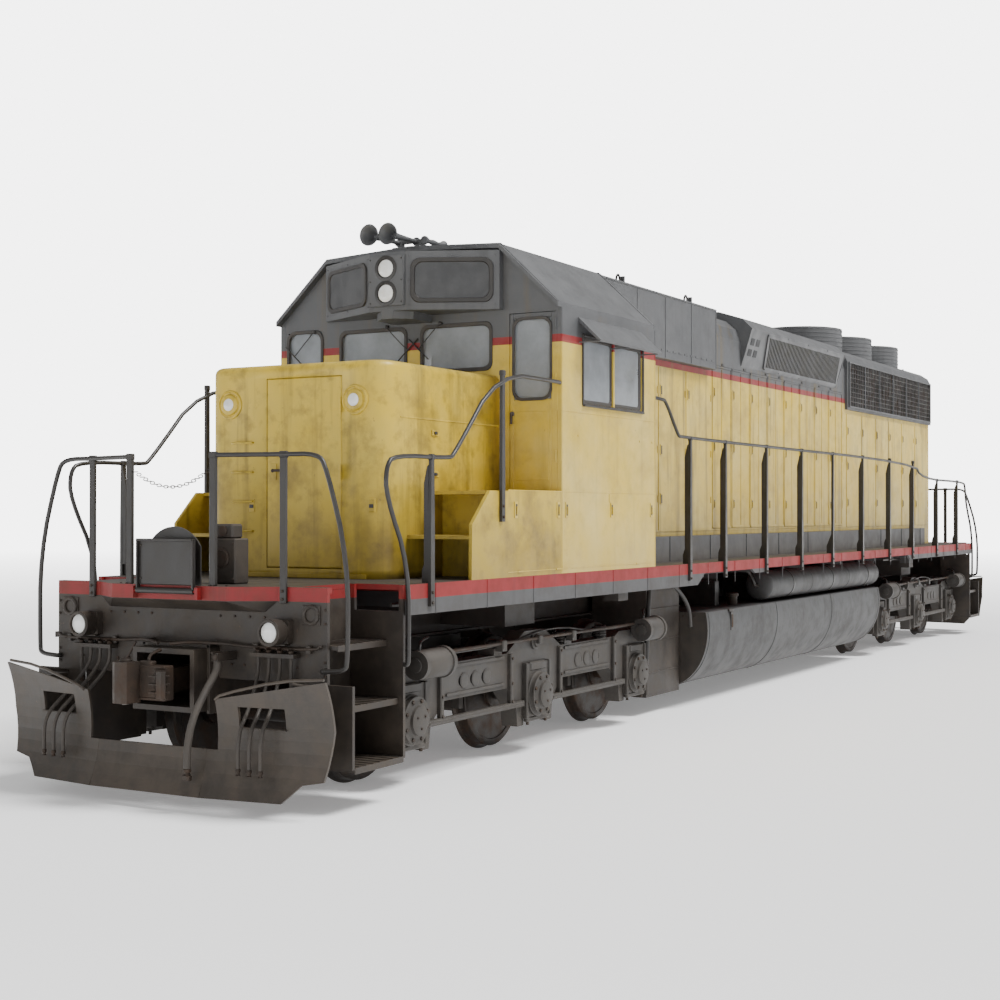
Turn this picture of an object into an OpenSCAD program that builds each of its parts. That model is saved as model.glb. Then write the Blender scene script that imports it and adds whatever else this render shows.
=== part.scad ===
// Six-axle diesel road-switcher locomotive with a low nose, a full-width cab,
// a narrow hood, long porches and two three-axle trucks.
// +X is the cab end, +Y the left side, +Z up. The origin is mid-length on the
// centreline at the lowest point of the wheel flanges.

/* [Overall] */
// Length over the coupler pulling faces
length_over_couplers = 20980; // [20900:10:21100]
// Width over the side sills and the cab
body_w = 3140; // [3120:10:3160]
// Height of the walkway above the rail
deck_z = 1602; // [1598:1:1610]
// Length over the two end plates
length_over_ends = 19796; // [19780:4:19800]

/* [Running gear] */
// Distance from mid-length to each truck centre
bolster_x = 6600; // [6560:10:6640]
// Distance between neighbouring axles of a truck
axle_gap = 2120; // [2110:5:2130]
// Wheel radius on the tread
wheel_r = 508; // [500:1:510]
// Depth of the wheel flange below the tread
flange_depth = 29; // [26:1:30]
// Radius of the axle journals
journal_r = 80; // [70:1:85]
// Radial clearance of the journals, pins and hubs
fit = 0.05; // [0.02:0.01:0.1]
// Radius of the truck centre pin
centre_pin_r = 150; // [140:5:160]

/* [Cab and nose] */
// Rear wall of the cab
cab_back_x = 4617; // [4600:1:4620]
// Front wall of the cab
cab_front_x = 6680; // [6670:1:6690]
// Height of the cab eaves above the rail
eave_z = 3990; // [3985:1:3995]
// Front of the nose
nose_x = 8580; // [8560:5:8600]
// Half width of the nose
nose_y = 930; // [900:5:930]
// Height of the nose above the rail
nose_z = 3400; // [3380:5:3410]

/* [Hood] */
// Half width of the hood
hood_y = 910; // [900:1:912]
// Rear end of the hood
hood_back_x = -8840; // [-8850:5:-8820]
// Number of engine doors along each side
door_count = 8; // [8:1:9]
// Foremost edge of the engine doors
doors_front_x = 1450; // [1440:1:1460]
// Rearmost edge of the engine doors
doors_back_x = -3750; // [-3760:1:-3740]
// Radius of a radiator fan housing
fan_housing_r = 680; // [660:5:690]

/* [Hidden] */

$fn = 48;
end_x = length_over_ends / 2;
plate_t = 30;
// Gap between plates that are bolted, not welded, together
seam = 0.5;
end_back_x = end_x - plate_t;
sill_y = body_w / 2;
deck_t = 42;
under_deck_z = deck_z - deck_t;
bearer_z = 1330;
bearer_out_z = 1445;
bearer_gap = 1640;
pull_x = length_over_couplers / 2;
wall_t = 50;
hood_t = 40;
// Step wells at the four corners
well_x = 9200;
well_y = 1060;
tread_z = [310, 745, 1180];
tread_y = [1550, 1500, 1400];
// Couplers
coupler_pin_x = 9550;
coupler_pin_r = 45;
coupler_z = 890;
// Cab profile: knee and crown of the roof
knee_y = 960;
knee_z = 4560;
crown_z = 4610;
roof_t = 45;
roof_front_x = 6760;
cab_floor_z = 2330;
door_sill_z = 2340;
door_top_z = 3960;
door_in_y = 1035;
door_out_y = 1530;
gap = 3;
// Engine doors
door_low_z = 1950;
door_high_z = 3940;
door_w = (doors_front_x - doors_back_x) / door_count;
moving_door = 3;
// Side walls of the hood reach this height below the hatches
hood_wall_z = 3990;
radiator_x = -3890;
radiator_low_z = 3700;
fan_x = [-4400, -6000, -7600];
fan_base_z = 4640;
fan_pin_r = 40;
nose_door_right = -260;
nose_door_left = 520;
// Handrails
post_y = sill_y;
rail_r = 18;
under_rail = rail_r + 0.5;
rail_y = sill_y + 15;
wall_rail_y = sill_y - 15;
rail_foot_x = well_x + 15;
post_x = [3740, 2730, 1400, 110, -1160, -2530, -3910, -5220];
side_rail_z = 2930;
porch_rail_z = 2680;
end_rail_z = 2575;

yellow = [0.80, 0.66, 0.30];
roof_grey = [0.42, 0.43, 0.44];
frame_black = [0.20, 0.18, 0.16];
truck_grey = [0.36, 0.36, 0.36];
silver = [0.58, 0.59, 0.60];
glass_grey = [0.62, 0.66, 0.70];
steel = [0.30, 0.28, 0.27];

module on_rail() translate([0, 0, flange_depth]) children();

module both_sides() {
    children();
    mirror([0, 1, 0]) children();
}

module at_rear() rotate([0, 0, 180]) children();

module both_ends() {
    children();
    at_rear() children();
}

module block(low, high) translate(low) cube(high - low);

// A profile in (y, z) run along X
module along_x(x0, x1)
    translate([x0, 0, 0]) rotate([90, 0, 90]) linear_extrude(x1 - x0) children();

// A profile in (x, z) run along Y
module along_y(y0, y1)
    translate([0, y1, 0]) rotate([90, 0, 0]) linear_extrude(y1 - y0) children();

// A plan in (x, y) run along Z
module along_z(z0, z1) translate([0, 0, z0]) linear_extrude(z1 - z0) children();

module rod_x(x0, x1, y, z, r)
    translate([x0, y, z]) rotate([0, 90, 0]) cylinder(h = x1 - x0, r = r);

module rod_y(x, y0, y1, z, r)
    translate([x, y0, z]) rotate([-90, 0, 0]) cylinder(h = y1 - y0, r = r);

module rod_z(x, y, z0, z1, r) translate([x, y, z0]) cylinder(h = z1 - z0, r = r);

// A tube swept along points, with one ring of sides at each point
function unit(v) = v / norm(v);
function heading(pts, i) =
    i == 0 ? unit(pts[1] - pts[0]) :
    i == len(pts) - 1 ? unit(pts[i] - pts[i - 1]) :
    unit(unit(pts[i + 1] - pts[i]) + unit(pts[i] - pts[i - 1]));
module tube(pts, r, side_axis, sides = 8) {
    last = len(pts) - 1;
    rings = [for (i = [0:last])
        let (t = heading(pts, i), u = unit(cross(t, side_axis)), v = cross(t, u))
        for (k = [0:sides - 1])
            let (a = 360 * (k + 0.5) / sides)
            pts[i] + r * (u * cos(a) + v * sin(a))];
    walls = [for (i = [0:last - 1]) for (k = [0:sides - 1])
        let (a = i * sides + k, b = i * sides + (k + 1) % sides)
        [a, a + sides, b + sides, b]];
    start_cap = [[for (k = [0:sides - 1]) k]];
    end_cap = [[for (k = [sides - 1:-1:0]) last * sides + k]];
    polyhedron(points = rings, faces = concat(walls, start_cap, end_cap));
}

// A rail of straight lengths joined at mitres, a seam apart
module rail(pts, side_axis) {
    last = len(pts) - 1;
    for (i = [0:last - 1]) {
        along = unit(pts[i + 1] - pts[i]);
        shift = [along * (i == 0 ? 0 : seam / 2), -along * (i == last - 1 ? 0 : seam / 2)];
        rings = [for (e = [0, 1])
            let (t = heading(pts, i + e), u = unit(cross(t, side_axis)), v = cross(t, u))
            for (k = [0:7])
                let (a = 360 * (k + 0.5) / 8)
                pts[i + e] + shift[e] + rail_r * (u * cos(a) + v * sin(a))];
        polyhedron(points = rings, faces = concat(
            [for (k = [0:7]) [k, k + 8, (k + 1) % 8 + 8, (k + 1) % 8]],
            [[for (k = [0:7]) k]], [[for (k = [7:-1:0]) k + 8]]));
    }
}

module rounded_plan(x0, x1, half_y, r)
    hull() {
        for (x = [x0, x1 - r]) for (s = [-1, 1])
            translate([x == x0 ? x0 + 1 : x, s * (half_y - (x == x0 ? 1 : r))])
                circle(r = x == x0 ? 1 : r, $fn = 32);
    }

// ---------------------------------------------------------------- frame

// Full-width walkway, and narrower porch plates between the step wells
module deck() {
    lip_x = 9840;
    block([-well_x, -sill_y, under_deck_z], [well_x, sill_y, deck_z]);
    both_ends() {
        block([well_x + seam, -1050, under_deck_z], [lip_x - seam, 1050, deck_z]);
        block([lip_x, -1330, under_deck_z], [end_back_x, 1330, deck_z]);
    }
}

module side_sill() {
    along_y(sill_y - 30, sill_y) polygon([
        [-well_x, under_deck_z], [-well_x, 1420], [-5100, 1420], [-4980, 1490],
        [1350, 1490], [1450, 1440], [1750, 1440], [1850, 1490], [3300, 1490],
        [3500, 1370], [well_x, 1370], [well_x, under_deck_z]]);
}

module centre_sill() {
    sill_end_x = well_x - 10;
    block([-sill_end_x, 380, 1060], [sill_end_x, 420, under_deck_z]);
    block([-sill_end_x, 320, 1040], [sill_end_x, 480, 1060]);
}

// Deep next to the centre sill and shallow over the air reservoirs
module crossbearer(x) {
    block([x - 20, -1, bearer_z], [x + 20, 1050, under_deck_z]);
    block([x - 20, 1049, bearer_out_z], [x + 20, sill_y - 30, under_deck_z]);
}

module underframe() color(frame_black) on_rail() {
    pad_z = 1290;
    deck();
    both_sides() {
        side_sill();
        centre_sill();
        for (x = [-5 * bearer_gap:bearer_gap:5 * bearer_gap])
            crossbearer(x);
        for (s = [-1, 1])
            block([s * 5300 - 110, 1380, pad_z], [s * 5300 + 110, 1530, under_deck_z]);
    }
    for (s = [-1, 1]) {
        block([s * bolster_x - 280, -1100, 1120], [s * bolster_x + 280, 1100, under_deck_z]);
        rod_z(s * bolster_x, 0, 1011, 1130, 370);
        rod_z(s * bolster_x, 0, 930, 1020, centre_pin_r);
    }
}

// End plate, step wells, draft pocket, anticlimber and hose racks of one end
module step_well() {
    block([well_x, well_y, 300], [well_x + plate_t, 1545, 1400]);
    for (y = [well_y, 1505])
        block([well_x, y, 1399], [well_x + plate_t, y + 40, deck_z]);
    block([well_x, 1030, 300], [end_back_x - seam, well_y - seam, under_deck_z]);
    block([end_back_x, well_y, 300], [end_x, 1550, 900 - seam]);
    for (i = [0:2])
        block([well_x + plate_t + seam, well_y, tread_z[i] - 30],
            [end_back_x - seam, tread_y[i], tread_z[i]]);
}

module draft_pocket() {
    inner_y = 260;
    difference() {
        block([well_x + 5, -300, 660], [10150, 300, 1130]);
        block([9400, -inner_y, 700], [10151, inner_y, 1090]);
    }
    rod_z(coupler_pin_x, 0, 690, 1100, coupler_pin_r);
}

module anticlimber() {
    root_x = end_x + seam;
    hull() {
        along_z(deck_z - 110, deck_z)
            polygon([[root_x, 880], [10100, 560], [10100, -560], [root_x, -880]]);
        along_z(1410, 1420)
            polygon([[root_x, 760], [root_x + 10, 760], [root_x + 10, -760], [root_x, -760]]);
    }
}

module pilot() {
    difference() {
        block([end_back_x, -1330, 900], [end_x, 1330, deck_z]);
        block([end_back_x - 1, -299, 899], [end_x + 1, 299, 1129]);
    }
    both_sides() {
        step_well();
        block([end_x + seam, 690, 1085], [9985, 1090, 1115]);
    }
    draft_pocket();
    anticlimber();
    // Angle cock of the brake pipe
    block([end_x - 1, 440, 1050], [10120, 500, 1110]);
    // Ears that carry the drop step
    for (y = [-330, 300])
        block([10099, y, 1500], [10150, y + 30, 1590]);
    rod_y(10130, -330, 330, 1560, 12);
}

module front_pilot() color(frame_black) on_rail() pilot();
module rear_pilot() color(frame_black) on_rail() at_rear() pilot();

// Concave snow plow: a straight middle and two wings swept back
plow_bend_y = 530;
plow_sweep = 7.8;
module plow_section() {
    reach = 100;
    mid_z = 525;
    half_h = 435;
    function curve(z) = reach * pow((z - mid_z) / half_h, 2) - 40;
    front = [for (z = [90:87:960]) [curve(z), z]];
    back = [for (z = [960:-87:90]) [curve(z) - 22, z]];
    polygon(concat(front, back));
}

module plow_face() {
    half = [[0, 90], [1200, 90], [1330, 220], [1500, 250], [1560, 600],
        [1550, 960], [620, 800], [620, 430], [0, 430]];
    difference() {
        polygon(concat(half, [for (i = [len(half) - 2:-1:1]) [-half[i][0], half[i][1]]]));
        for (s = [-1, 1])
            translate([s * 990, 675]) square([380, 150], center = true);
    }
}

module plow() {
    intersection() {
        union() {
            translate([10310, 0, 0]) along_y(-plow_bend_y, plow_bend_y) plow_section();
            both_sides() translate([10310, plow_bend_y, 0]) rotate([0, 0, plow_sweep])
                along_y(-3, 1060) plow_section();
        }
        along_x(9900, 10480) plow_face();
    }
    both_sides()
        block([end_x, 1240, 330], [10160, 1270, 860]);
}

module front_plow() color(frame_black) on_rail() plow();
module rear_plow() color(frame_black) on_rail() at_rear() plow();

// ---------------------------------------------------- below the walkway

module fuel_tank() color(silver) on_rail() {
    flat_y = 950;
    side_z = 840;
    bulge = 500;
    depth = 640;
    top_z = 1038;
    side = [for (a = [-22:16:90]) [flat_y + bulge * cos(a), side_z - depth * sin(a)]];
    outline = concat([[0, top_z], [1330, top_z]], side);
    along_x(-3850, 2930) polygon(concat(outline,
        [for (i = [len(outline) - 1:-1:1]) [-outline[i][0], outline[i][1]]]));
    both_sides() {
        for (x = [-2 * bearer_gap, 0, bearer_gap])
            block([x - 60, 500, top_z - 1], [x + 60, 1050, bearer_z]);
        rod_z(1400, 1150, top_z - 38, 1170, 60);
        rod_z(1400, 1150, 1169, 1190, 75);
    }
}

module air_reservoirs() color(silver) on_rail() both_sides() {
    r = 180;
    translate([-3850, 1270, 1250]) rotate([0, 90, 0]) rotate_extrude()
        polygon(concat([[0, 0]], [for (a = [15:15:90]) [r * sin(a), 60 * (1 - cos(a))]],
            [for (a = [90:-15:15]) [r * sin(a), 4640 + 60 * cos(a)]], [[0, 4700]]));
    for (x = [-2 * bearer_gap, 0])
        block([x - 30, 1230, 1425], [x + 30, 1310, bearer_out_z]);
}

module equipment_boxes() color(frame_black) on_rail() both_sides()
    block([2960, 480, 170], [3850, 1120, bearer_z]);

// ------------------------------------------------------- cab and nose

cab_profile = [[sill_y, eave_z], [knee_y, knee_z], [0, crown_z],
    [-knee_y, knee_z], [-sill_y, eave_z]];

module cab_front_openings() {
    // Windshields and the window on the right of the nose
    for (s = [-1, 1])
        translate([s * 465, 3680]) square([750, 420], center = true);
    translate([-1270, 3540]) square([410, 760], center = true);
    translate([door_in_y, door_sill_z])
        square([door_out_y - door_in_y, door_top_z - door_sill_z]);
}

module cab_rear_openings() {
    translate([1270, 3540]) square([410, 760], center = true);
    translate([-door_out_y, door_sill_z])
        square([door_out_y - door_in_y, door_top_z - door_sill_z]);
}

module side_window() translate([5595, 3460]) square([1310, 620], center = true);

module cab_shell() color(yellow) on_rail() {
    difference() {
        along_x(cab_back_x, cab_front_x)
            polygon(concat([[-sill_y, deck_z], [sill_y, deck_z]], cab_profile));
        block([cab_back_x + wall_t, -sill_y + wall_t, cab_floor_z],
            [cab_front_x - wall_t, sill_y - wall_t, 5000]);
        block([cab_back_x + wall_t, -sill_y + wall_t, deck_z - 1],
            [cab_front_x - wall_t, sill_y - wall_t, cab_floor_z - wall_t]);
        along_x(cab_front_x - wall_t - 1, cab_front_x + 1) cab_front_openings();
        along_x(cab_back_x - 1, cab_back_x + wall_t + 1) cab_rear_openings();
        along_y(-sill_y - 1, sill_y + 1) side_window();
    }
}

module cab_roof() color(roof_grey) on_rail() {
    along_x(cab_back_x, roof_front_x) polygon(concat(cab_profile,
        [for (i = [4:-1:0]) cab_profile[i] + [0, roof_t]]));
}

module pane_x(x, y0, y1, z0, z1) block([x, y0, z0], [x + 8, y1, z1]);

module cab_glass() color(glass_grey) on_rail() {
    for (s = [-1, 1])
        pane_x(cab_front_x - 30, s * 465 - 375, s * 465 + 375, 3470, 3890);
    pane_x(cab_front_x - 30, -1475, -1065, 3160, 3920);
    pane_x(cab_back_x + 20, 1065, 1475, 3160, 3920);
    both_sides() for (x = [4940, 5605])
        block([x, sill_y - 30, 3150], [x + 645, sill_y - 22, 3770]);
}

module cab_seats() color([0.20, 0.20, 0.22]) on_rail() both_sides() {
    block([5350, 950, 2760], [5850, 1420, 2860]);
    block([5300, 950, 2861], [5400, 1420, 3500]);
    rod_z(5600, 1185, cab_floor_z, 2761, 60);
}

module control_stand() color([0.34, 0.38, 0.36]) on_rail() {
    along_y(-900, -350) polygon([[6150, cab_floor_z], [6560, cab_floor_z],
        [6560, 3380], [6330, 3420], [6150, 3180]]);
}

module window_awnings() color(roof_grey) on_rail() both_sides()
    along_x(4960, 6350)
        polygon([[sill_y, 3890], [sill_y, 3935], [1800, 3715], [1790, 3700]]);

module headlight_housing() color(roof_grey) on_rail() {
    difference() {
        union() {
            along_z(4000, 4540) polygon([[cab_front_x, 970], [6750, 970], [7130, 200],
                [7130, -200], [6750, -970], [cab_front_x, -970]]);
            along_z(3930, 4001) polygon([[cab_front_x, 200], [7000, 200], [7130, 60],
                [7130, -60], [7000, -200], [cab_front_x, -200]]);
            block([7129, -190, 4045], [7160, 190, 4505]);
        }
        for (z = [4160, 4390]) rod_x(7100, 7161, 0, z, 100);
    }
    for (z = [4160, 4390]) rod_x(7099, 7118, 0, z, 85);
}

module air_horns() color(roof_grey) on_rail() {
    base_z = crown_z + roof_t;
    slope = (crown_z - knee_z) / knee_y;
    horn_rise = 60;
    hub_x = 6650;
    along_x(hub_x - 40, hub_x + 40) polygon([[-230, base_z - 230 * slope], [0, base_z],
        [150, base_z - 150 * slope], [150, base_z + 12], [-230, base_z + 12]]);
    for (i = [0:2]) {
        y = [-190, 0, 110][i];
        facing = i == 2 ? -1 : 1;
        throat = i == 2 ? 220 : 400;
        bell_r = i == 2 ? 46 : 102;
        translate([hub_x, y, base_z + horn_rise]) rotate([0, facing * 90, 0]) {
            cylinder(h = throat, r1 = 22, r2 = 34);
            translate([0, 0, throat - 1]) cylinder(h = 110, r1 = 34, r2 = bell_r);
        }
    }
    rod_y(hub_x, -230, 150, base_z + horn_rise, 35);
    for (y = [-190, 110]) rod_z(hub_x, y, base_z + 11, base_z + 50, 28);
}

module nose_opening() translate([nose_door_right, 1680])
    square([nose_door_left - nose_door_right, 1600]);

module nose_shell() color(yellow) on_rail() {
    edge = 60;
    skin = 40;
    difference() {
        hull() {
            along_z(deck_z, nose_z - edge)
                rounded_plan(cab_front_x, nose_x, nose_y, 220);
            along_z(nose_z - 1, nose_z)
                rounded_plan(cab_front_x, nose_x - edge, nose_y - edge, 190);
        }
        along_z(deck_z - 1, nose_z - skin - edge)
            rounded_plan(cab_front_x - 1, nose_x - skin, nose_y - skin, 180);
        along_x(nose_x - skin - 10, nose_x + 1) nose_opening();
    }
}

module nose_door() color(yellow) on_rail() {
    block([nose_x - 40, nose_door_right + gap, 1680 + gap],
        [nose_x, nose_door_left - gap, 3280 - gap]);
    for (z = [1900, 2450, 3000])
        rod_z(nose_x + 8, nose_door_left - gap - 10, z, z + 90, 11);
}

module battery_boxes() color(yellow) on_rail() both_sides() {
    block([cab_front_x, nose_y, deck_z], [7671, sill_y, cab_floor_z]);
    along_y(sill_y - 30, sill_y) polygon([[7670, deck_z], [8260, deck_z],
        [8250, 2050], [7960, cab_floor_z], [7670, cab_floor_z]]);
    block([7670, nose_y, cab_floor_z - 30], [7880, sill_y - 29, cab_floor_z]);
    block([7670, nose_y, 1930], [8230, sill_y - 29, 1960]);
}

module cab_door_leaf() {
    // Leaf of the left front door with its window
    difference() {
        block([cab_front_x - 45, door_in_y + gap, door_sill_z + gap],
            [cab_front_x, door_out_y - gap, door_top_z - gap]);
        block([cab_front_x - 46, 1075, 3170], [cab_front_x + 1, 1465, 3910]);
    }
    block([cab_front_x - 30, 1074, 3169], [cab_front_x - 22, 1466, 3911]);
    for (z = [2600, 3300]) rod_z(cab_front_x + 5, door_out_y - 13, z, z + 100, 9);
    block([cab_front_x - 1, 1040, 3020], [cab_front_x + 35, 1090, 3070]);
}

module cab_front_door() color(yellow) on_rail() cab_door_leaf();
module cab_rear_door() color(yellow) on_rail()
    translate([cab_back_x + cab_front_x, 0, 0]) at_rear() cab_door_leaf();

// ---------------------------------------------------------------- hood

hood_knee_y = 560;
hood_top_z = 4640;
module hood_roof_band()
    difference() {
        polygon([[-hood_y, hood_wall_z], [hood_y, hood_wall_z], [hood_y, 4300],
            [860, 4450], [720, 4570], [hood_knee_y, 4625], [0, hood_top_z],
            [-hood_knee_y, 4625], [-720, 4570], [-860, 4450], [-hood_y, 4300]]);
        polygon([[-hood_y + hood_t, hood_wall_z - 1], [hood_y - hood_t, hood_wall_z - 1],
            [hood_y - hood_t, 4280], [690, 4530], [0, hood_top_z - hood_t],
            [-690, 4530], [-hood_y + hood_t, 4280]]);
    }

module hood_shell() color(yellow) on_rail() {
    difference() {
        union() {
            block([radiator_x, -hood_y, deck_z], [cab_back_x, hood_y, hood_wall_z]);
            block([hood_back_x, -hood_y, deck_z], [radiator_x + 1, hood_y, radiator_low_z]);
        }
        block([hood_back_x + hood_t, -hood_y + hood_t, deck_z - 1],
            [cab_back_x + 1, hood_y - hood_t, hood_wall_z + 1]);
        block([doors_back_x, -hood_y - 1, door_low_z], [doors_front_x, hood_y + 1, door_high_z]);
    }
    for (span = [[480, 1580], [radiator_x, -3420]])
        along_x(span[0], span[1]) hood_roof_band();
    // Sill and header join the walls where the doors are
    for (z = [deck_z + 60, 3700])
        block([radiator_x + 1, -hood_y + hood_t, z], [radiator_x + 101, hood_y - hood_t, z + 60]);
}

module air_filter_hatch() color(roof_grey) on_rail() {
    side_y = 1020;
    block([1580, -side_y, hood_wall_z], [cab_back_x, side_y, 4560]);
    both_sides() block([1580, hood_y, 3860], [cab_back_x, side_y, hood_wall_z + 1]);
    along_x(1580, 4560) polygon([[-960, 4559], [960, 4559], [900, 4620], [0, 4665], [-900, 4620]]);
    for (x = [900 + 800, 3600]) both_sides()
        block([x, 700, 4600], [x + 30, 760, 4730]);
}

module dynamic_brake_hatch() color(roof_grey) on_rail() {
    along_x(-3420, 480) polygon([[-hood_y, hood_wall_z], [hood_y, hood_wall_z],
        [1060, 4470], [930, 4600], [620, 4700], [0, 4730],
        [-620, 4700], [-930, 4600], [-1060, 4470]]);
    // Low exhaust stack and inspection covers
    block([-700, -330, 4725], [-100, 330, 4790]);
    block([-2600, -280, 4725], [-2100, 280, 4775]);
}

module radiator_section() color(roof_grey) on_rail() {
    side_y = 950;
    along_x(hood_back_x, radiator_x) polygon([[-side_y, radiator_low_z],
        [side_y, radiator_low_z], [side_y, 4420], [900, 4520], [780, 4600], [640, fan_base_z],
        [-640, fan_base_z], [-780, 4600], [-900, 4520], [-side_y, 4420]]);
}

module fan_housings() color(roof_grey) on_rail() for (x = fan_x) {
    difference() {
        rod_z(x, 0, fan_base_z, 4985, fan_housing_r);
        rod_z(x, 0, fan_base_z + 30, 4986, fan_housing_r - 35);
    }
    rod_z(x, 0, fan_base_z + 29, fan_base_z + 100, 90);
    rod_z(x, 0, fan_base_z + 99, fan_base_z + 240, fan_pin_r);
}

module radiator_fan(i) color(steel) on_rail() translate([fan_x[i], 0, fan_base_z + 110]) {
    blades = 8;
    hub_r = 130;
    difference() {
        union() {
            cylinder(h = 120, r = hub_r);
            for (k = [0:blades - 1]) rotate([0, 0, k * 360 / blades])
                translate([hub_r - 10, 0, 60]) rotate([28, 0, 0])
                    translate([0, -85, -6]) cube([490, 170, 12]);
        }
        translate([0, 0, -1]) cylinder(h = 122, r = fan_pin_r + fit);
    }
}

module engine_block() color([0.35, 0.40, 0.38]) on_rail()
    block([-3400, -620, deck_z], [1200, 620, 3300]);

module walkway_ducts() color(roof_grey) on_rail() both_sides()
    block([-7900, hood_y, deck_z], [4300, 1080, 1880]);

module door_leaf(i) {
    back_x = doors_front_x - (i + 1) * door_w;
    block([back_x + gap, hood_y - hood_t, door_low_z + gap],
        [back_x + door_w - gap, hood_y, door_high_z - gap]);
    for (z = [2250, 3500]) rod_z(back_x + gap + 9, hood_y + 4, z, z + 90, 8);
}

module fixed_doors() for (i = [0:door_count - 1]) if (i != moving_door) door_leaf(i);

module hood_doors_left() color(yellow) on_rail() fixed_doors();
module hood_doors_right() color(yellow) on_rail() mirror([0, 1, 0]) fixed_doors();
module engine_door_left() color(yellow) on_rail() door_leaf(moving_door);
module engine_door_right() color(yellow) on_rail() mirror([0, 1, 0]) door_leaf(moving_door);

module rear_headlight() color(roof_grey) on_rail() {
    difference() {
        block([hood_back_x - 110, -190, 3920], [hood_back_x, 190, 4360]);
        for (z = [4030, 4250]) rod_x(hood_back_x - 111, hood_back_x - 50, 0, z, 100);
    }
    for (z = [4030, 4250]) rod_x(hood_back_x - 75, hood_back_x - 49, 0, z, 85);
}

// ----------------------------------------------------------- handrails

module post(x, low_z, high_z) {
    block([x - 28, post_y, low_z], [x + 28, post_y + 30, high_z]);
    along_x(x - 6, x + 6) polygon([[post_y + 1, deck_z + 1], [post_y - 70, deck_z + 1],
        [post_y - 70, 1700], [post_y + 1, 1880]]);
}

module handrail_side() {
    for (x = post_x) post(x, 1425, side_rail_z - under_rail);
    for (x = [-6720, -8100]) post(x, 1425, porch_rail_z - under_rail);
    post(8890, 1425, end_rail_z - under_rail);
    block([7752, post_y, 2070], [7808, post_y + 30, 3310 - under_rail]);
    // Hood rail from the cab corner to the rear porch and the rear steps
    rail([[cab_back_x, wall_rail_y, 3310], [cab_back_x - 30, wall_rail_y, 3310],
        [4480, rail_y, 3300], [4390, rail_y, 3290],
        [4080, rail_y, side_rail_z + 30], [4000, rail_y, side_rail_z],
        [-5300, rail_y, side_rail_z], [-5750, rail_y, porch_rail_z],
        [-8550, rail_y, porch_rail_z], [-8680, rail_y, porch_rail_z - 80],
        [-8750, rail_y, 2300], [-rail_foot_x, rail_y, 1760], [-rail_foot_x, rail_y, 1040],
        [-rail_foot_x, 1575, 1000], [-rail_foot_x, 1545, 1000]], [0, 1, 0.01]);
    // Nose rail from the cab front to the front steps
    rail([[cab_front_x, wall_rail_y, 3310], [cab_front_x + 30, wall_rail_y, 3310],
        [6770, rail_y, 3310], [7860, rail_y, 3310],
        [8560, rail_y, 2600], [8640, rail_y, end_rail_z], [9420, rail_y, end_rail_z],
        [9520, rail_y, 2480], [9520, rail_y, 2270], [rail_foot_x, rail_y, 1750],
        [rail_foot_x, rail_y, 1040], [rail_foot_x, 1575, 1000],
        [rail_foot_x, 1545, 1000]], [0, 1, 0.01]);
}

module handrails_left() color(frame_black) on_rail() handrail_side();
module handrails_right() color(frame_black) on_rail() mirror([0, 1, 0]) handrail_side();

module end_rail_half() {
    rail_x = end_x + 15;
    block([end_x, 920, 1480], [end_x + 30, 970, end_rail_z - under_rail]);
    block([10050, 385, deck_z], [10080, 435, end_rail_z - under_rail]);
    rail([[10065, 380, end_rail_z], [10065, 430, end_rail_z], [rail_x, 945, end_rail_z],
        [rail_x, 1250, end_rail_z], [rail_x, 1330, 2480], [rail_x, 1520, 1810],
        [rail_x, 1520, 1060], [9925, 1490, 1010], [9932, 1330, 1000],
        [9927, 1300, 1000], [end_x, 1300, 1000]], [1, 0.1, 0.2]);
}

module end_handrails() color(frame_black) on_rail() both_ends() {
    end_rail_half();
    mirror([0, 1, 0]) end_rail_half();
    // Round-topped guard plate behind the drop step
    along_x(10020, 10032) intersection() {
        translate([0, deck_z + 130]) circle(r = 310);
        translate([-260, deck_z]) square([520, 500]);
    }
    // Receptacle stand on the porch
    block([9620, 130, deck_z], [9790, 390, 1950]);
    block([9640, 170, 1949], [9770, 350, 2060]);
}

module drop_step() {
    block([10110, -280, deck_z + 3], [10124, 280, 1950]);
    for (y = [-280, 265])
        block([10110, y, 1575], [10148, y + 15, 1951]);
    difference() {
        rod_y(10130, -280, 280, 1560, 24);
        rod_y(10130, -281, 281, 1560, 12 + fit);
    }
}

module front_drop_step() color(frame_black) on_rail() drop_step();
module rear_drop_step() color(frame_black) on_rail() at_rear() drop_step();

module ditch_lights() color(steel) on_rail() both_sides() {
    block([end_x, 850, 1190], [9960, 1020, 1360]);
    difference() {
        rod_x(9959, 10090, 935, 1274, 92);
        rod_x(10060, 10091, 935, 1274, 78);
    }
}

// --------------------------------------------------- hoses at both ends

hose_y = [735, 835, 935];
short_hose_y = 1035;
jumper_r = 14;
brake_hose_r = 28;
function jumper(y) = [[9940, y, 1085], [9940, y, 950], [10150, y + 80, 720],
    [10320, y + 118, 570], [10320, y + 118, 320]];
function short_jumper(y) = [[9940, y, 1085], [9940, y, 860]];
brake_hose = [[10090, 470, 1050], [10090, 470, 980], [10200, 466, 860],
    [10350, 458, 660], [10400, 450, 450], [10400, 450, 300]];

module air_hoses() color([0.22, 0.20, 0.19]) on_rail() both_ends() {
    both_sides() {
        for (y = hose_y) tube(jumper(y), jumper_r, [0, 1, 0]);
        tube(short_jumper(short_hose_y), jumper_r, [0, 1, 0]);
    }
    tube(brake_hose, brake_hose_r, [0, 1, 0]);
}

module hose_couplings() color(steel) on_rail() both_ends() {
    both_sides() {
        for (y = hose_y)
            block([10300, y + 98, 270], [10340, y + 138, 320]);
        block([9920, short_hose_y - 20, 810], [9960, short_hose_y + 20, 860]);
    }
    block([10370, 415, 210], [10430, 485, 300]);
}

// -------------------------------------------------------------- couplers

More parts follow.
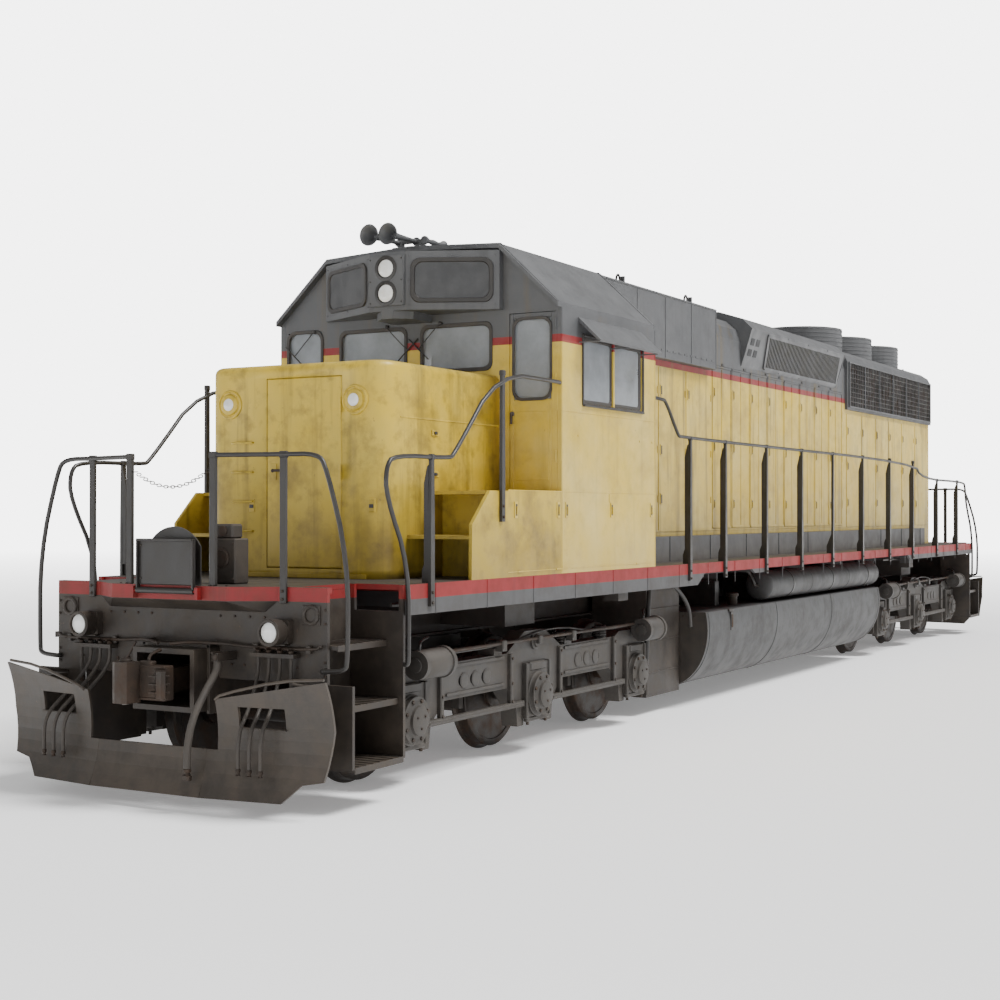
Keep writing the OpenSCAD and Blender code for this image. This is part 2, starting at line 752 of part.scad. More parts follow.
module coupler() {
    difference() {
        union() {
            block([coupler_pin_x, -65, coupler_z - 90], [10205, 65, coupler_z + 90]);
            rod_z(coupler_pin_x, 0, coupler_z - 90, coupler_z + 90, 110);
        }
        rod_z(coupler_pin_x, 0, coupler_z - 91, coupler_z + 91, coupler_pin_r + fit);
    }
    along_z(coupler_z - 120, coupler_z + 120)
        polygon([[10200, -120], [10250, -200], [10345, -205], [10345, 205], [10250, 190],
            [10200, 120]]);
    along_z(coupler_z - 100, coupler_z + 100)
        polygon([[10340, 90], [10340, 200], [10420, 262], [10452, 250], [10440, 190]]);
    along_z(coupler_z - 150, coupler_z + 155)
        polygon([[10340, -205], [10430, -218], [10475, -200], [pull_x, -165],
            [pull_x, -95], [10470, -65], [10340, -50]]);
}

module front_coupler() color(steel) on_rail() coupler();
module rear_coupler() color(steel) on_rail() at_rear() coupler();

// ---------------------------------------------------------------- trucks

module truck_side_outline() {
    half = [[0, 1080], [190, 1080], [520, 905], [600, 905], [600, 965], [740, 965],
        [740, 905], [1700, 905], [1790, 950], [2300, 950], [2410, 880], [2410, 330],
        [2330, 330], [2330, 790], [1910, 790], [1910, 240], [1800, 240], [1770, 430],
        [1560, 600], [520, 600], [350, 430], [320, 240], [210, 240], [210, 790], [0, 790]];
    difference() {
        union() {
            polygon(half);
            mirror([1, 0]) polygon(half);
        }
        for (s = [-1, 1]) for (k = [-1:1])
            translate([s * 1100 + k * 190, 740]) circle(r = 45);
    }
}

side_in_y = 1090;
side_out_y = 1250;
module truck_frame() {
    both_sides() along_y(side_in_y, side_out_y) truck_side_outline();
    difference() {
        union() {
            for (s = [-1, 1]) {
                block([s * 1060 - 100, -side_in_y - 1, 640], [s * 1060 + 100, side_in_y + 1, 880]);
                block([-961, s * 405 - 75, 820], [961, s * 405 + 75, 900]);
            }
            rod_z(0, 0, 860, 1010, 400);
        }
        rod_z(0, 0, 900, 1011, centre_pin_r + fit);
    }
}

module axle_boxes() both_sides() for (u = [-axle_gap, 0, axle_gap]) difference() {
    union() {
        block([u - 210, side_in_y, 300], [u + 210, 1285, 790]);
        rod_y(u, 1284, 1345, wheel_r, 190);
        rod_y(u, 1344, 1380, wheel_r, 115);
    }
    rod_y(u, side_in_y - 1, 1280, wheel_r, journal_r + fit);
}

// Each motor hangs between its axle and the nearer transom
module motors() for (m = [[axle_gap, -1, 1160], [0, -1, -960], [-axle_gap, 1, -1160]]) {
    u = m[0] + m[1] * 520;
    nose = m[2];
    rod_y(u, -560, 560, wheel_r, 290);
    block([min(u, nose), -150, 650], [max(u, nose), 150, 750]);
    difference() {
        hull() {
            rod_y(m[0], 585, 645, wheel_r, 320);
            rod_y(u, 585, 645, wheel_r, 200);
        }
        rod_y(m[0], 584, 646, wheel_r, 115);
    }
    rod_y(u, 559, 586, wheel_r, 120);
}

module brakes() both_sides() {
    cyl_y = 1380;
    cyl_z = 950;
    for (span = [[1750, 2200], [-2450, -2050]]) {
        rod_x(span[0], span[1], cyl_y, cyl_z, 115);
        rod_x(span[0] + 30, span[0] + 70, cyl_y, cyl_z, 128);
        block([span[0] + 180, side_out_y, 880], [span[0] + 280, 1310, 940]);
    }
    rod_x(-2051, 1751, 1300, 1010, 12);
    for (u = [-670, 670])
        block([u - 40, side_out_y, 940], [u + 40, 1320, 1030]);
    for (s = [-1, 1])
        block([min(s * 260, s * 1860), side_out_y, 420], [max(s * 260, s * 1860), 1290, 470]);
    // Shoes beside the treads, each on a hanger rod from the side frame
    for (u = [1565, 555, -1565]) {
        block([u - 35, 725, 400], [u + 35, 805, 650]);
        rod_y(u, 724, side_in_y, 630, 20);
    }
}

wheel_half = [[95, 0], [95, 655], [155, 655], [155, 725], [425, 735], [430, 695],
    [455, 676], [520, 676], [wheel_r + flange_depth, 690], [wheel_r + flange_depth, 698],
    [wheel_r + 6, 716], [wheel_r, 730], [wheel_r - 3, 808], [wheel_r - 10, 815],
    [445, 815], [430, 775], [155, 765], [155, 830], [journal_r, 830], [journal_r, 1270],
    [0, 1270]];
module wheelset()
    translate([0, 0, wheel_r]) rotate([-90, 0, 0]) rotate_extrude($fn = 96)
        polygon(concat(wheel_half,
            [for (i = [len(wheel_half) - 1:-1:1]) [wheel_half[i][0], -wheel_half[i][1]]]));

module truck_part(end) color(truck_grey) on_rail() translate([end * bolster_x, 0, 0]) children();
module wheelset_at(end, n) color(steel) on_rail()
    translate([end * bolster_x + (2 - n) * axle_gap, 0, 0]) wheelset();

underframe();
front_pilot();
rear_pilot();
front_plow();
rear_plow();
fuel_tank();
air_reservoirs();
equipment_boxes();
battery_boxes();
cab_shell();
cab_roof();
cab_glass();
cab_seats();
control_stand();
window_awnings();
headlight_housing();
air_horns();
nose_shell();
hood_shell();
air_filter_hatch();
dynamic_brake_hatch();
radiator_section();
fan_housings();
engine_block();
walkway_ducts();
hood_doors_left();
hood_doors_right();
handrails_left();
handrails_right();
end_handrails();
ditch_lights();
rear_headlight();
air_hoses();
hose_couplings();
nose_door();
cab_front_door();
cab_rear_door();
engine_door_left();
engine_door_right();
front_drop_step();
rear_drop_step();
radiator_fan(0);  // radiator_fan_1
radiator_fan(1);  // radiator_fan_2
radiator_fan(2);  // radiator_fan_3
front_coupler();
rear_coupler();
truck_part(1) truck_frame();  // front_truck_frame
truck_part(1) axle_boxes();  // front_truck_axle_boxes
truck_part(1) motors();  // front_truck_motors
truck_part(1) brakes();  // front_truck_brakes
wheelset_at(1, 1);  // front_wheelset_1
wheelset_at(1, 2);  // front_wheelset_2
wheelset_at(1, 3);  // front_wheelset_3
truck_part(-1) truck_frame();  // rear_truck_frame
truck_part(-1) axle_boxes();  // rear_truck_axle_boxes
truck_part(-1) motors();  // rear_truck_motors
truck_part(-1) brakes();  // rear_truck_brakes
wheelset_at(-1, 1);  // rear_wheelset_1
wheelset_at(-1, 2);  // rear_wheelset_2
wheelset_at(-1, 3);  // rear_wheelset_3
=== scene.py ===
# %% [markdown]
# # A heavy diesel freight locomotive
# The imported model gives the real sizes, so every finished piece is placed from it.
# This lesson adds the smooth skins, the small hardware and the weathered finishes.
# Each cell first says what the piece is, then builds it and prints what it made.

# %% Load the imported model
import bpy, bmesh, math
from mathutils import Vector, Matrix


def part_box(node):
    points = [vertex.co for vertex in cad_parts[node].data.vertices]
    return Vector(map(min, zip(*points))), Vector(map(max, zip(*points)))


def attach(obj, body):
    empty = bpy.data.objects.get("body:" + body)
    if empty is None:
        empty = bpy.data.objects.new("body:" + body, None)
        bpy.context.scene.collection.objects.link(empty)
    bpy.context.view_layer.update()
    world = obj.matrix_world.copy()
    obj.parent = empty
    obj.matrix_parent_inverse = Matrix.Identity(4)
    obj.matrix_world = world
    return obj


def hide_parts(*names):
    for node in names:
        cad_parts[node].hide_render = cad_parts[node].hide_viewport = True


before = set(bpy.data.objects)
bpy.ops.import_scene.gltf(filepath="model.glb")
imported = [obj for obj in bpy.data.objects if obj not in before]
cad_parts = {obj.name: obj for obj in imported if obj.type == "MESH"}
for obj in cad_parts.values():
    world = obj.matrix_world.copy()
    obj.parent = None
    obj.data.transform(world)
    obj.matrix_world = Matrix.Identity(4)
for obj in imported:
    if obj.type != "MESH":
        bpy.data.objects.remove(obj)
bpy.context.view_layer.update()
rail_top = 0.029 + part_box("front_wheelset_1")[0][2]
BODY = "locomotive_body"

# %% [markdown]
# ## Camera
# A long lens stands low, ahead and to the left of the nose, as a person beside the track would see the engine.
# A Track To constraint could aim it. Two angles are used, because they are easy to read and to correct.

# %% Camera
def look_from(place, yaw_deg, pitch_deg, lens):
    yaw, pitch = math.radians(yaw_deg), math.radians(pitch_deg)
    sight = Vector((math.cos(pitch) * math.cos(yaw), math.cos(pitch) * math.sin(yaw), math.sin(pitch)))
    data = bpy.data.cameras.new("lineside_camera")
    data.lens, data.sensor_width = lens, 36.0
    data.clip_end = 400
    camera = bpy.data.objects.new("lineside_camera", data)
    bpy.context.scene.collection.objects.link(camera)
    camera.location = place
    camera.rotation_euler = sight.to_track_quat("-Z", "Y").to_euler()
    bpy.context.scene.camera = camera
    return camera

look_from((19.065, 7.967, 2.147 + rail_top), 209.584, 0.4606, 56.04)
print("camera placed")

# %% [markdown]
# ## Writing shader maths as expressions
# A node tree is easier to read as a formula.
# This class wraps one socket, so `1 - mask` adds the Math node for us.
# Every other node comes from `node`, which sets the choices before the sockets.

# %% Shader maths
class Shade:
    def __init__(self, tree, socket=None):
        self.tree, self.socket = tree, socket

    def node(self, kind, choices=None, sockets=None, out=0):
        made = self.tree.nodes.new("ShaderNode" + kind)
        for key, value in (choices or {}).items():
            if key == "stops":
                ramp = made.color_ramp
                while len(ramp.elements) < len(value):
                    ramp.elements.new(0.5)
                for element, (place, level) in zip(ramp.elements, value):
                    element.position, element.color = place, (level, level, level, 1)
            else:
                setattr(made, key, value)
        for key, value in (sockets or {}).items():
            if isinstance(value, Shade):
                self.tree.links.new(value.socket, made.inputs[key])
            else:
                made.inputs[key].default_value = value
        return Shade(self.tree, made.outputs[out])

    def math(self, operation, a, b=0.0):
        return self.node("Math", {"operation": operation}, {0: a, 1: b})

    def __add__(self, other): return self.math("ADD", self, other)
    def __radd__(self, other): return self.math("ADD", other, self)
    def __sub__(self, other): return self.math("SUBTRACT", self, other)
    def __rsub__(self, other): return self.math("SUBTRACT", other, self)
    def __mul__(self, other): return self.math("MULTIPLY", self, other)
    def __rmul__(self, other): return self.math("MULTIPLY", other, self)
    def above(self, level): return self.math("GREATER_THAN", self, level)

    def blend(self, under, over):
        """Colour over laid on colour under, where self is the mask."""
        return self.node("Mix", {"data_type": "RGBA"}, {0: self, 6: under, 7: over}, out=2)

def rgb(red, green, blue):
    return (red, green, blue, 1.0)

# %% [markdown]
# ## Weather
# Paint on a working engine fades, gathers road dust low down and streaks under every seam.
# It could be painted by hand on images. Noise at three scales is sharp at any distance and needs no image.
# Streaks are noise squeezed along Z, so they run down the sides. The masks are made once here,
# and each finish mixes its own colours with them.

# %% Weather masks
class Weather:
    def __init__(self, shade):
        place = shade.node("TexCoord", out="Object")
        self.place = place
        self.height = shade.node("SeparateXYZ", None, {0: place}, out=2) - rail_top
        self.shade = shade
        self.facing = shade.node("SeparateXYZ", None, {0: shade.node("NewGeometry", out="Normal")}, out=2)

    def cloud(self, scale, low, high, detail=5.0, squeeze=(1, 1, 1), shift=0.0):
        moved = self.shade.node("VectorMath", {"operation": "MULTIPLY"}, {0: self.place, 1: squeeze})
        moved = self.shade.node("VectorMath", {"operation": "ADD"}, {0: moved, 1: (shift, shift, shift)})
        noise = self.shade.node("TexNoise", None,
            {"Vector": moved, "Scale": scale, "Detail": detail, "Roughness": 0.62})
        return self.shade.node("ValToRGB", {"stops": [(low, 0.0), (high, 1.0)]}, {0: noise})

    def ramp(self, value, low, high):
        return self.shade.node("MapRange", {"clamp": True}, {"Value": value, "From Min": low, "From Max": high})

# %% [markdown]
# ## A plain shader
# Every finish ends in one Principled shader. `new_finish` makes it empty, and `settle` plugs in what a finish
# worked out: a number goes on the socket itself, and anything that varies is linked.
# Doing both in one place keeps the recipes below short.

# %% A plain shader to start from
def new_finish(name):
    material = bpy.data.materials.new(name)
    material.use_nodes = True
    tree = material.node_tree
    tree.nodes.clear()
    out = tree.nodes.new("ShaderNodeOutputMaterial")
    shader = tree.nodes.new("ShaderNodeBsdfPrincipled")
    tree.links.new(shader.outputs[0], out.inputs[0])
    return material, shader, Shade(tree)

def settle(shader, shade, colour, rough, metal=0.0, height=None, depth=0.002, strength=0.5):
    for key, value in (("Base Color", colour), ("Roughness", rough), ("Metallic", metal)):
        if isinstance(value, Shade):
            shade.tree.links.new(value.socket, shader.inputs[key])
        else:
            shader.inputs[key].default_value = value
    if height is not None:
        bump = shade.node("Bump", None, {"Strength": strength, "Distance": depth, "Height": height})
        shade.tree.links.new(bump.socket, shader.inputs["Normal"])

# %% [markdown]
# ## Weathered paint
# One recipe serves every painted panel. Separate materials built by hand would drift apart, so the layers are
# written once: ground colour, faded patches, grime, then stripes at set heights, streaks, dust on ledges,
# splashes low down and small chips that show rust. The order is the order in which a real coat ages.

# %% Paint recipe
def weathered_paint(name, ground, stripes=(), faded=None, grime=None, dust=None, amounts=(0.5, 0.5, 0.4, 0.3),
                    rough=0.5, low_dirt=None, chips=0.5, stripes_on_top=True):
    """stripes are (lowest, highest, colour) above the rail; amounts are fade, grime, dust and streaks."""
    material, shader, shade = new_finish(name)
    w = Weather(shade)
    colour = rgb(*ground)
    fade, dirt, powder, streak = amounts
    if faded:
        colour = (w.cloud(1.1, 0.38, 0.68) * fade).blend(colour, rgb(*faded))
    grime = grime or tuple(0.25 * c for c in ground)
    patches = w.cloud(1.7, 0.50, 0.74, 8.0, shift=3.1)
    fine_dirt = w.cloud(6.5, 0.52, 0.72, 9.0, shift=4.4)
    colour = (patches * dirt).blend(colour, rgb(*grime))
    colour = (fine_dirt * dirt * 0.55).blend(colour, rgb(*grime))
    for low, high, tint in stripes:
        inside = w.height.above(low) * (1 - w.height.above(high))
        if not stripes_on_top:
            inside = inside * (1 - w.facing.above(0.5))
        worn = (patches * 0.5).blend(rgb(*tint), rgb(*[0.5 * c for c in tint]))
        colour = inside.blend(colour, worn)
    runs = w.cloud(7.0, 0.53, 0.75, 4.0, (1, 1, 0.07), 7.7) * streak
    colour = runs.blend(colour, rgb(*[0.6 * c for c in grime]))
    dust = dust or (0.30, 0.26, 0.20)
    ledge = w.ramp(w.facing, 0.3, 0.95) * 0.55
    film = w.cloud(4.5, 0.42, 0.72, 7.0, shift=12.0)
    powdered = (film * powder + ledge * powder)
    settled = w.height.above(3.7).blend(rgb(*dust), rgb(*[min(c, 0.13) for c in dust]))
    colour = w.ramp(powdered, 0.0, 1.0).blend(colour, settled)
    if low_dirt:
        low, high, tint, much = low_dirt
        splash = (1 - w.ramp(w.height + film * 0.25, low, high)) * much
        colour = splash.blend(colour, rgb(*tint))
    flecks = w.cloud(26.0, 0.70, 0.735, 3.0, shift=21.0) * chips
    colour = flecks.blend(colour, rgb(0.085, 0.045, 0.025))
    grain = w.cloud(60.0, 0.3, 0.7, 2.0)
    height = grain * 0.12 + film * 0.3 - flecks * 0.8
    settle(shader, shade, colour, film * 0.22 + (rough - 0.05), 0.0, height, 0.003, 0.35)
    return material

# %% [markdown]
# ## The paints
# The body is yellow with a grey roof and a thin red line between them. Frame, trucks and rails are nearly black.
# Each could be a flat colour, but a working engine never is: every line below gives a ground colour,
# its stripes, its faded, dirty and dusty tints, and how much of each shows.

# %% Paints
YELLOW = (0.56, 0.385, 0.028)
PALE_YELLOW = (0.56, 0.445, 0.150)
GREY = (0.070, 0.072, 0.075)
RED = (0.22, 0.005, 0.006)
DARK = (0.022, 0.019, 0.017)
AMBER = (0.115, 0.068, 0.004)
ROAD_DUST = (0.30, 0.245, 0.150)
cab_paint = weathered_paint("cab_yellow_and_grey", YELLOW, [(3.75, 9, GREY), (3.68, 3.75, RED)], PALE_YELLOW,
    (0.22, 0.135, 0.008), ROAD_DUST, (0.75, 0.45, 0.18, 0.25), 0.48, (1.55, 2.1, (0.30, 0.22, 0.07), 0.40), 0.35)
nose_paint = weathered_paint("nose_yellow", (0.56, 0.385, 0.022), [], (0.55, 0.42, 0.09), AMBER,
    (0.30, 0.24, 0.08), (0.45, 1.00, 0.22, 0.60), 0.46, (1.5, 2.7, (0.16, 0.105, 0.010), 0.70), 0.50)
hood_paint = weathered_paint("hood_yellow_and_grey", YELLOW, [(3.86, 9, GREY), (3.79, 3.86, RED)], PALE_YELLOW,
    (0.20, 0.130, 0.016), ROAD_DUST, (0.70, 0.62, 0.20, 0.85), 0.5, (1.5, 3.1, (0.20, 0.145, 0.05), 0.55), 0.35)
roof_paint = weathered_paint("roof_grey", GREY, [], (0.10, 0.102, 0.105), (0.030, 0.030, 0.031), (0.15, 0.145, 0.135),
    (0.5, 0.5, 0.22, 0.45), 0.52, None, 0.25)
duct_paint = weathered_paint("duct_grey", (0.052, 0.052, 0.054), [], (0.08, 0.077, 0.072), (0.025, 0.023, 0.020),
    (0.14, 0.12, 0.095), (0.5, 0.5, 0.35, 0.4), 0.55, (1.6, 1.85, (0.10, 0.082, 0.06), 0.5), 0.3)
frame_paint = weathered_paint("frame_black", DARK, [(1.49, 1.604, RED), (1.36, 1.49, (0.060, 0.060, 0.062))],
    (0.035, 0.030, 0.025), (0.012, 0.009, 0.007), (0.07, 0.055, 0.042), (0.5, 0.5, 0.3, 0.3), 0.6, None, 0.4, False)
pilot_paint = weathered_paint("pilot_worn_black", (0.024, 0.019, 0.0155), [(1.495, 1.60, RED)], (0.045, 0.034, 0.025),
    (0.010, 0.0075, 0.0055), (0.085, 0.064, 0.044), (0.6, 0.5, 0.4, 0.4), 0.55, None, 0.6, False)
plow_paint = weathered_paint("plow_worn_steel", (0.036, 0.029, 0.0225), [],
    (0.066, 0.050, 0.037), (0.014, 0.010, 0.007),
    (0.10, 0.076, 0.054), (0.7, 0.6, 0.4, 0.5), 0.45, None, 0.8)
rail_paint = weathered_paint("handrail_black", (0.018, 0.0165, 0.0155), [],
    (0.03, 0.027, 0.024), (0.010, 0.008, 0.006),
    (0.065, 0.054, 0.042), (0.5, 0.4, 0.25, 0.2), 0.42, None, 0.5)
truck_paint = weathered_paint("truck_grey", (0.036, 0.033, 0.030), [], (0.056, 0.051, 0.046), (0.022, 0.018, 0.015),
    (0.095, 0.078, 0.060), (0.5, 0.6, 0.35, 0.4), 0.58, (0.1, 0.75, (0.045, 0.036, 0.027), 0.6), 0.4)
silver_paint = weathered_paint("tank_silver", (0.042, 0.043, 0.045), [], (0.060, 0.060, 0.060), (0.022, 0.019, 0.017),
    (0.056, 0.050, 0.042), (0.5, 0.5, 0.3, 0.6), 0.58, (0.1, 0.6, (0.034, 0.028, 0.022), 0.6), 0.3)
# Brown of the equipment boxes, also used as painted shade on the tank ends.
box_brown_and_painted_shade = weathered_paint("equipment_box_brown_and_painted_shade", (0.030, 0.025, 0.021), [],
    (0.052, 0.042, 0.033), (0.013, 0.010, 0.008),
    (0.085, 0.068, 0.052), (0.6, 0.5, 0.4, 0.4), 0.6, None, 0.5)
print("paints mixed:", len(bpy.data.materials))

# %% [markdown]
# ## Bare metal, rubber, glass and lamps
# Wheels and couplers are oily brown cast steel. Gaskets and hoses are dusty rubber.
# Glass is thin and pale, and lets the cab show through. A library material would need its own settings for each;
# small functions let a hose and a seat share one recipe in other colours.

# %% Other finishes
def cast_steel(name, ground, rough=0.55, metal=0.55):
    material, shader, shade = new_finish(name)
    w = Weather(shade)
    rust = w.cloud(6.0, 0.42, 0.70, 8.0)
    oil = w.cloud(2.3, 0.45, 0.62, 4.0, shift=5.0)
    colour = rust.blend(rgb(*ground), rgb(0.060, 0.034, 0.020))
    colour = (oil * 0.6).blend(colour, rgb(0.022, 0.018, 0.015))
    settle(shader, shade, colour, rust * 0.25 + (rough - 0.1), metal,
        rust * 0.6 + w.cloud(70, 0.3, 0.7) * 0.3, 0.003, 0.5)
    return material

def rubber(name, ground=(0.035, 0.032, 0.030)):
    material, shader, shade = new_finish(name)
    w = Weather(shade)
    film = w.cloud(9.0, 0.40, 0.72, 6.0)
    colour = (film * 0.55).blend(rgb(*ground), rgb(0.085, 0.070, 0.055))
    settle(shader, shade, colour, film * 0.2 + 0.6, 0.0, w.cloud(90, 0.3, 0.7), 0.001, 0.3)
    return material

def pane(name, tint, alpha):
    material, shader, shade = new_finish(name)
    w = Weather(shade)
    film = w.cloud(2.2, 0.35, 0.75, 6.0)
    settle(shader, shade, film.blend(rgb(*tint), rgb(*[min(1, 1.25 * c) for c in tint])), film * 0.12 + 0.05)
    shade.tree.links.new((film * 0.18 + alpha).socket, shader.inputs["Alpha"])
    return material

def lamp_glass(name):
    material, shader, shade = new_finish(name)
    w = Weather(shade)
    flutes = shade.node("TexWave", {"bands_direction": "Y"}, {"Vector": w.place, "Scale": 22.0})
    settle(shader, shade, w.cloud(9, 0.4, 0.8).blend(rgb(0.78, 0.79, 0.78), rgb(0.62, 0.60, 0.55)),
        0.16, 0.0, flutes, 0.002, 0.3)
    shader.inputs["Coat Weight"].default_value = 0.6
    return material

# Dark grey for the radiator cores (partly painted shade), for joints on the walkway ducts, and for painted shade
# behind louvre slats and in small slots.
def dark_mesh_and_painted_shade(name):
    material, shader, shade = new_finish(name)
    w = Weather(shade)
    settle(shader, shade, w.cloud(5, 0.4, 0.7).blend(rgb(0.030, 0.031, 0.033), rgb(0.052, 0.053, 0.055)), 0.75, 0.0,
           w.cloud(80, 0.3, 0.7), 0.002, 0.4)
    return material

wheel_steel = cast_steel("wheel_oily_steel", (0.032, 0.027, 0.023))
coupler_steel = cast_steel("coupler_brown_steel", (0.045, 0.033, 0.025), 0.58, 0.4)
bright_steel = cast_steel("worn_bright_steel", (0.16, 0.15, 0.14), 0.42, 0.7)
gasket = rubber("window_gasket")
hose_rubber = rubber("hose_rubber", (0.050, 0.043, 0.037))
window_glass = pane("pale_window_glass", (0.30, 0.32, 0.34), 0.55)
lens = lamp_glass("lamp_lens")
shadow_mesh = dark_mesh_and_painted_shade("dark_mesh_and_painted_shade")
seat_cloth = rubber("seat_vinyl", (0.04, 0.04, 0.045))
board_paint = weathered_paint("blank_board_dark", (0.035, 0.036, 0.038), [], (0.05, 0.05, 0.05), None, None,
    (0.3, 0.2, 0.2, 0.1), 0.35)
engine_paint = weathered_paint("engine_green_grey", (0.12, 0.15, 0.135), [], None, None, None,
    (0.3, 0.4, 0.3, 0.3), 0.5)
print("finishes:", len(bpy.data.materials))

# %% [markdown]
# ## Dress the carried pieces
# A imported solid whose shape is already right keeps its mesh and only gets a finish.
# Each could be set by hand. A table of names shows at a glance what wears what, and anything that it
# doesn't name is roof grey.

# %% Finishes of the carried pieces
worn_by = {
    "cab_shell": cab_paint, "cab_front_door": cab_paint, "cab_rear_door": cab_paint, "nose_shell": nose_paint,
    "nose_door": nose_paint, "battery_boxes": nose_paint, "hood_shell": hood_paint, "hood_doors_left": hood_paint,
    "hood_doors_right": hood_paint, "engine_door_left": hood_paint, "engine_door_right": hood_paint,
    "cab_glass": window_glass, "cab_seats": seat_cloth, "control_stand": engine_paint, "engine_block": engine_paint,
    "underframe": frame_paint, "front_pilot": pilot_paint, "rear_pilot": pilot_paint, "front_plow": plow_paint,
    "rear_plow": plow_paint, "equipment_boxes": box_brown_and_painted_shade, "fuel_tank": silver_paint, "air_reservoirs": silver_paint,
    "walkway_ducts": duct_paint, "handrails_left": rail_paint, "handrails_right": rail_paint,
    "end_handrails": rail_paint, "front_drop_step": rail_paint, "rear_drop_step": rail_paint,
    "ditch_lights": pilot_paint, "front_coupler": coupler_steel, "rear_coupler": coupler_steel,
    "radiator_fan_1": bright_steel, "radiator_fan_2": bright_steel, "radiator_fan_3": bright_steel,
    "air_hoses": hose_rubber, "hose_couplings": coupler_steel}
for name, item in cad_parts.items():
    look = worn_by.get(name, roof_paint)
    if "truck" in name:
        look = coupler_steel if "motors" in name else truck_paint
    if "wheelset" in name:
        look = wheel_steel
    item.data.materials.clear()
    item.data.materials.append(look)
print("dressed", len(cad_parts), "carried pieces")

# %% [markdown]
# ## A workbench for mesh code
# Small hardware could be modelled piece by piece in Edit Mode. Most of it is one of a few kinds of part:
# a chamfered bar, a turned rod, a prism or a bent tube. `Bench` makes these and gathers them into one piece.
# `turn` mirrors or rotates what follows, so one description serves both sides and both ends.

# %% Bench
def mm(x, y, z):
    """A point in millimetres above the rail becomes a point in metres in the frame."""
    return Vector((x / 1000, y / 1000, z / 1000 + rail_top))

LEFT = Matrix.Identity(4)
RIGHT = Matrix.Scale(-1, 4, (0, 1, 0))
FRONT = Matrix.Identity(4)
REAR = Matrix.Rotation(math.pi, 4, "Z")

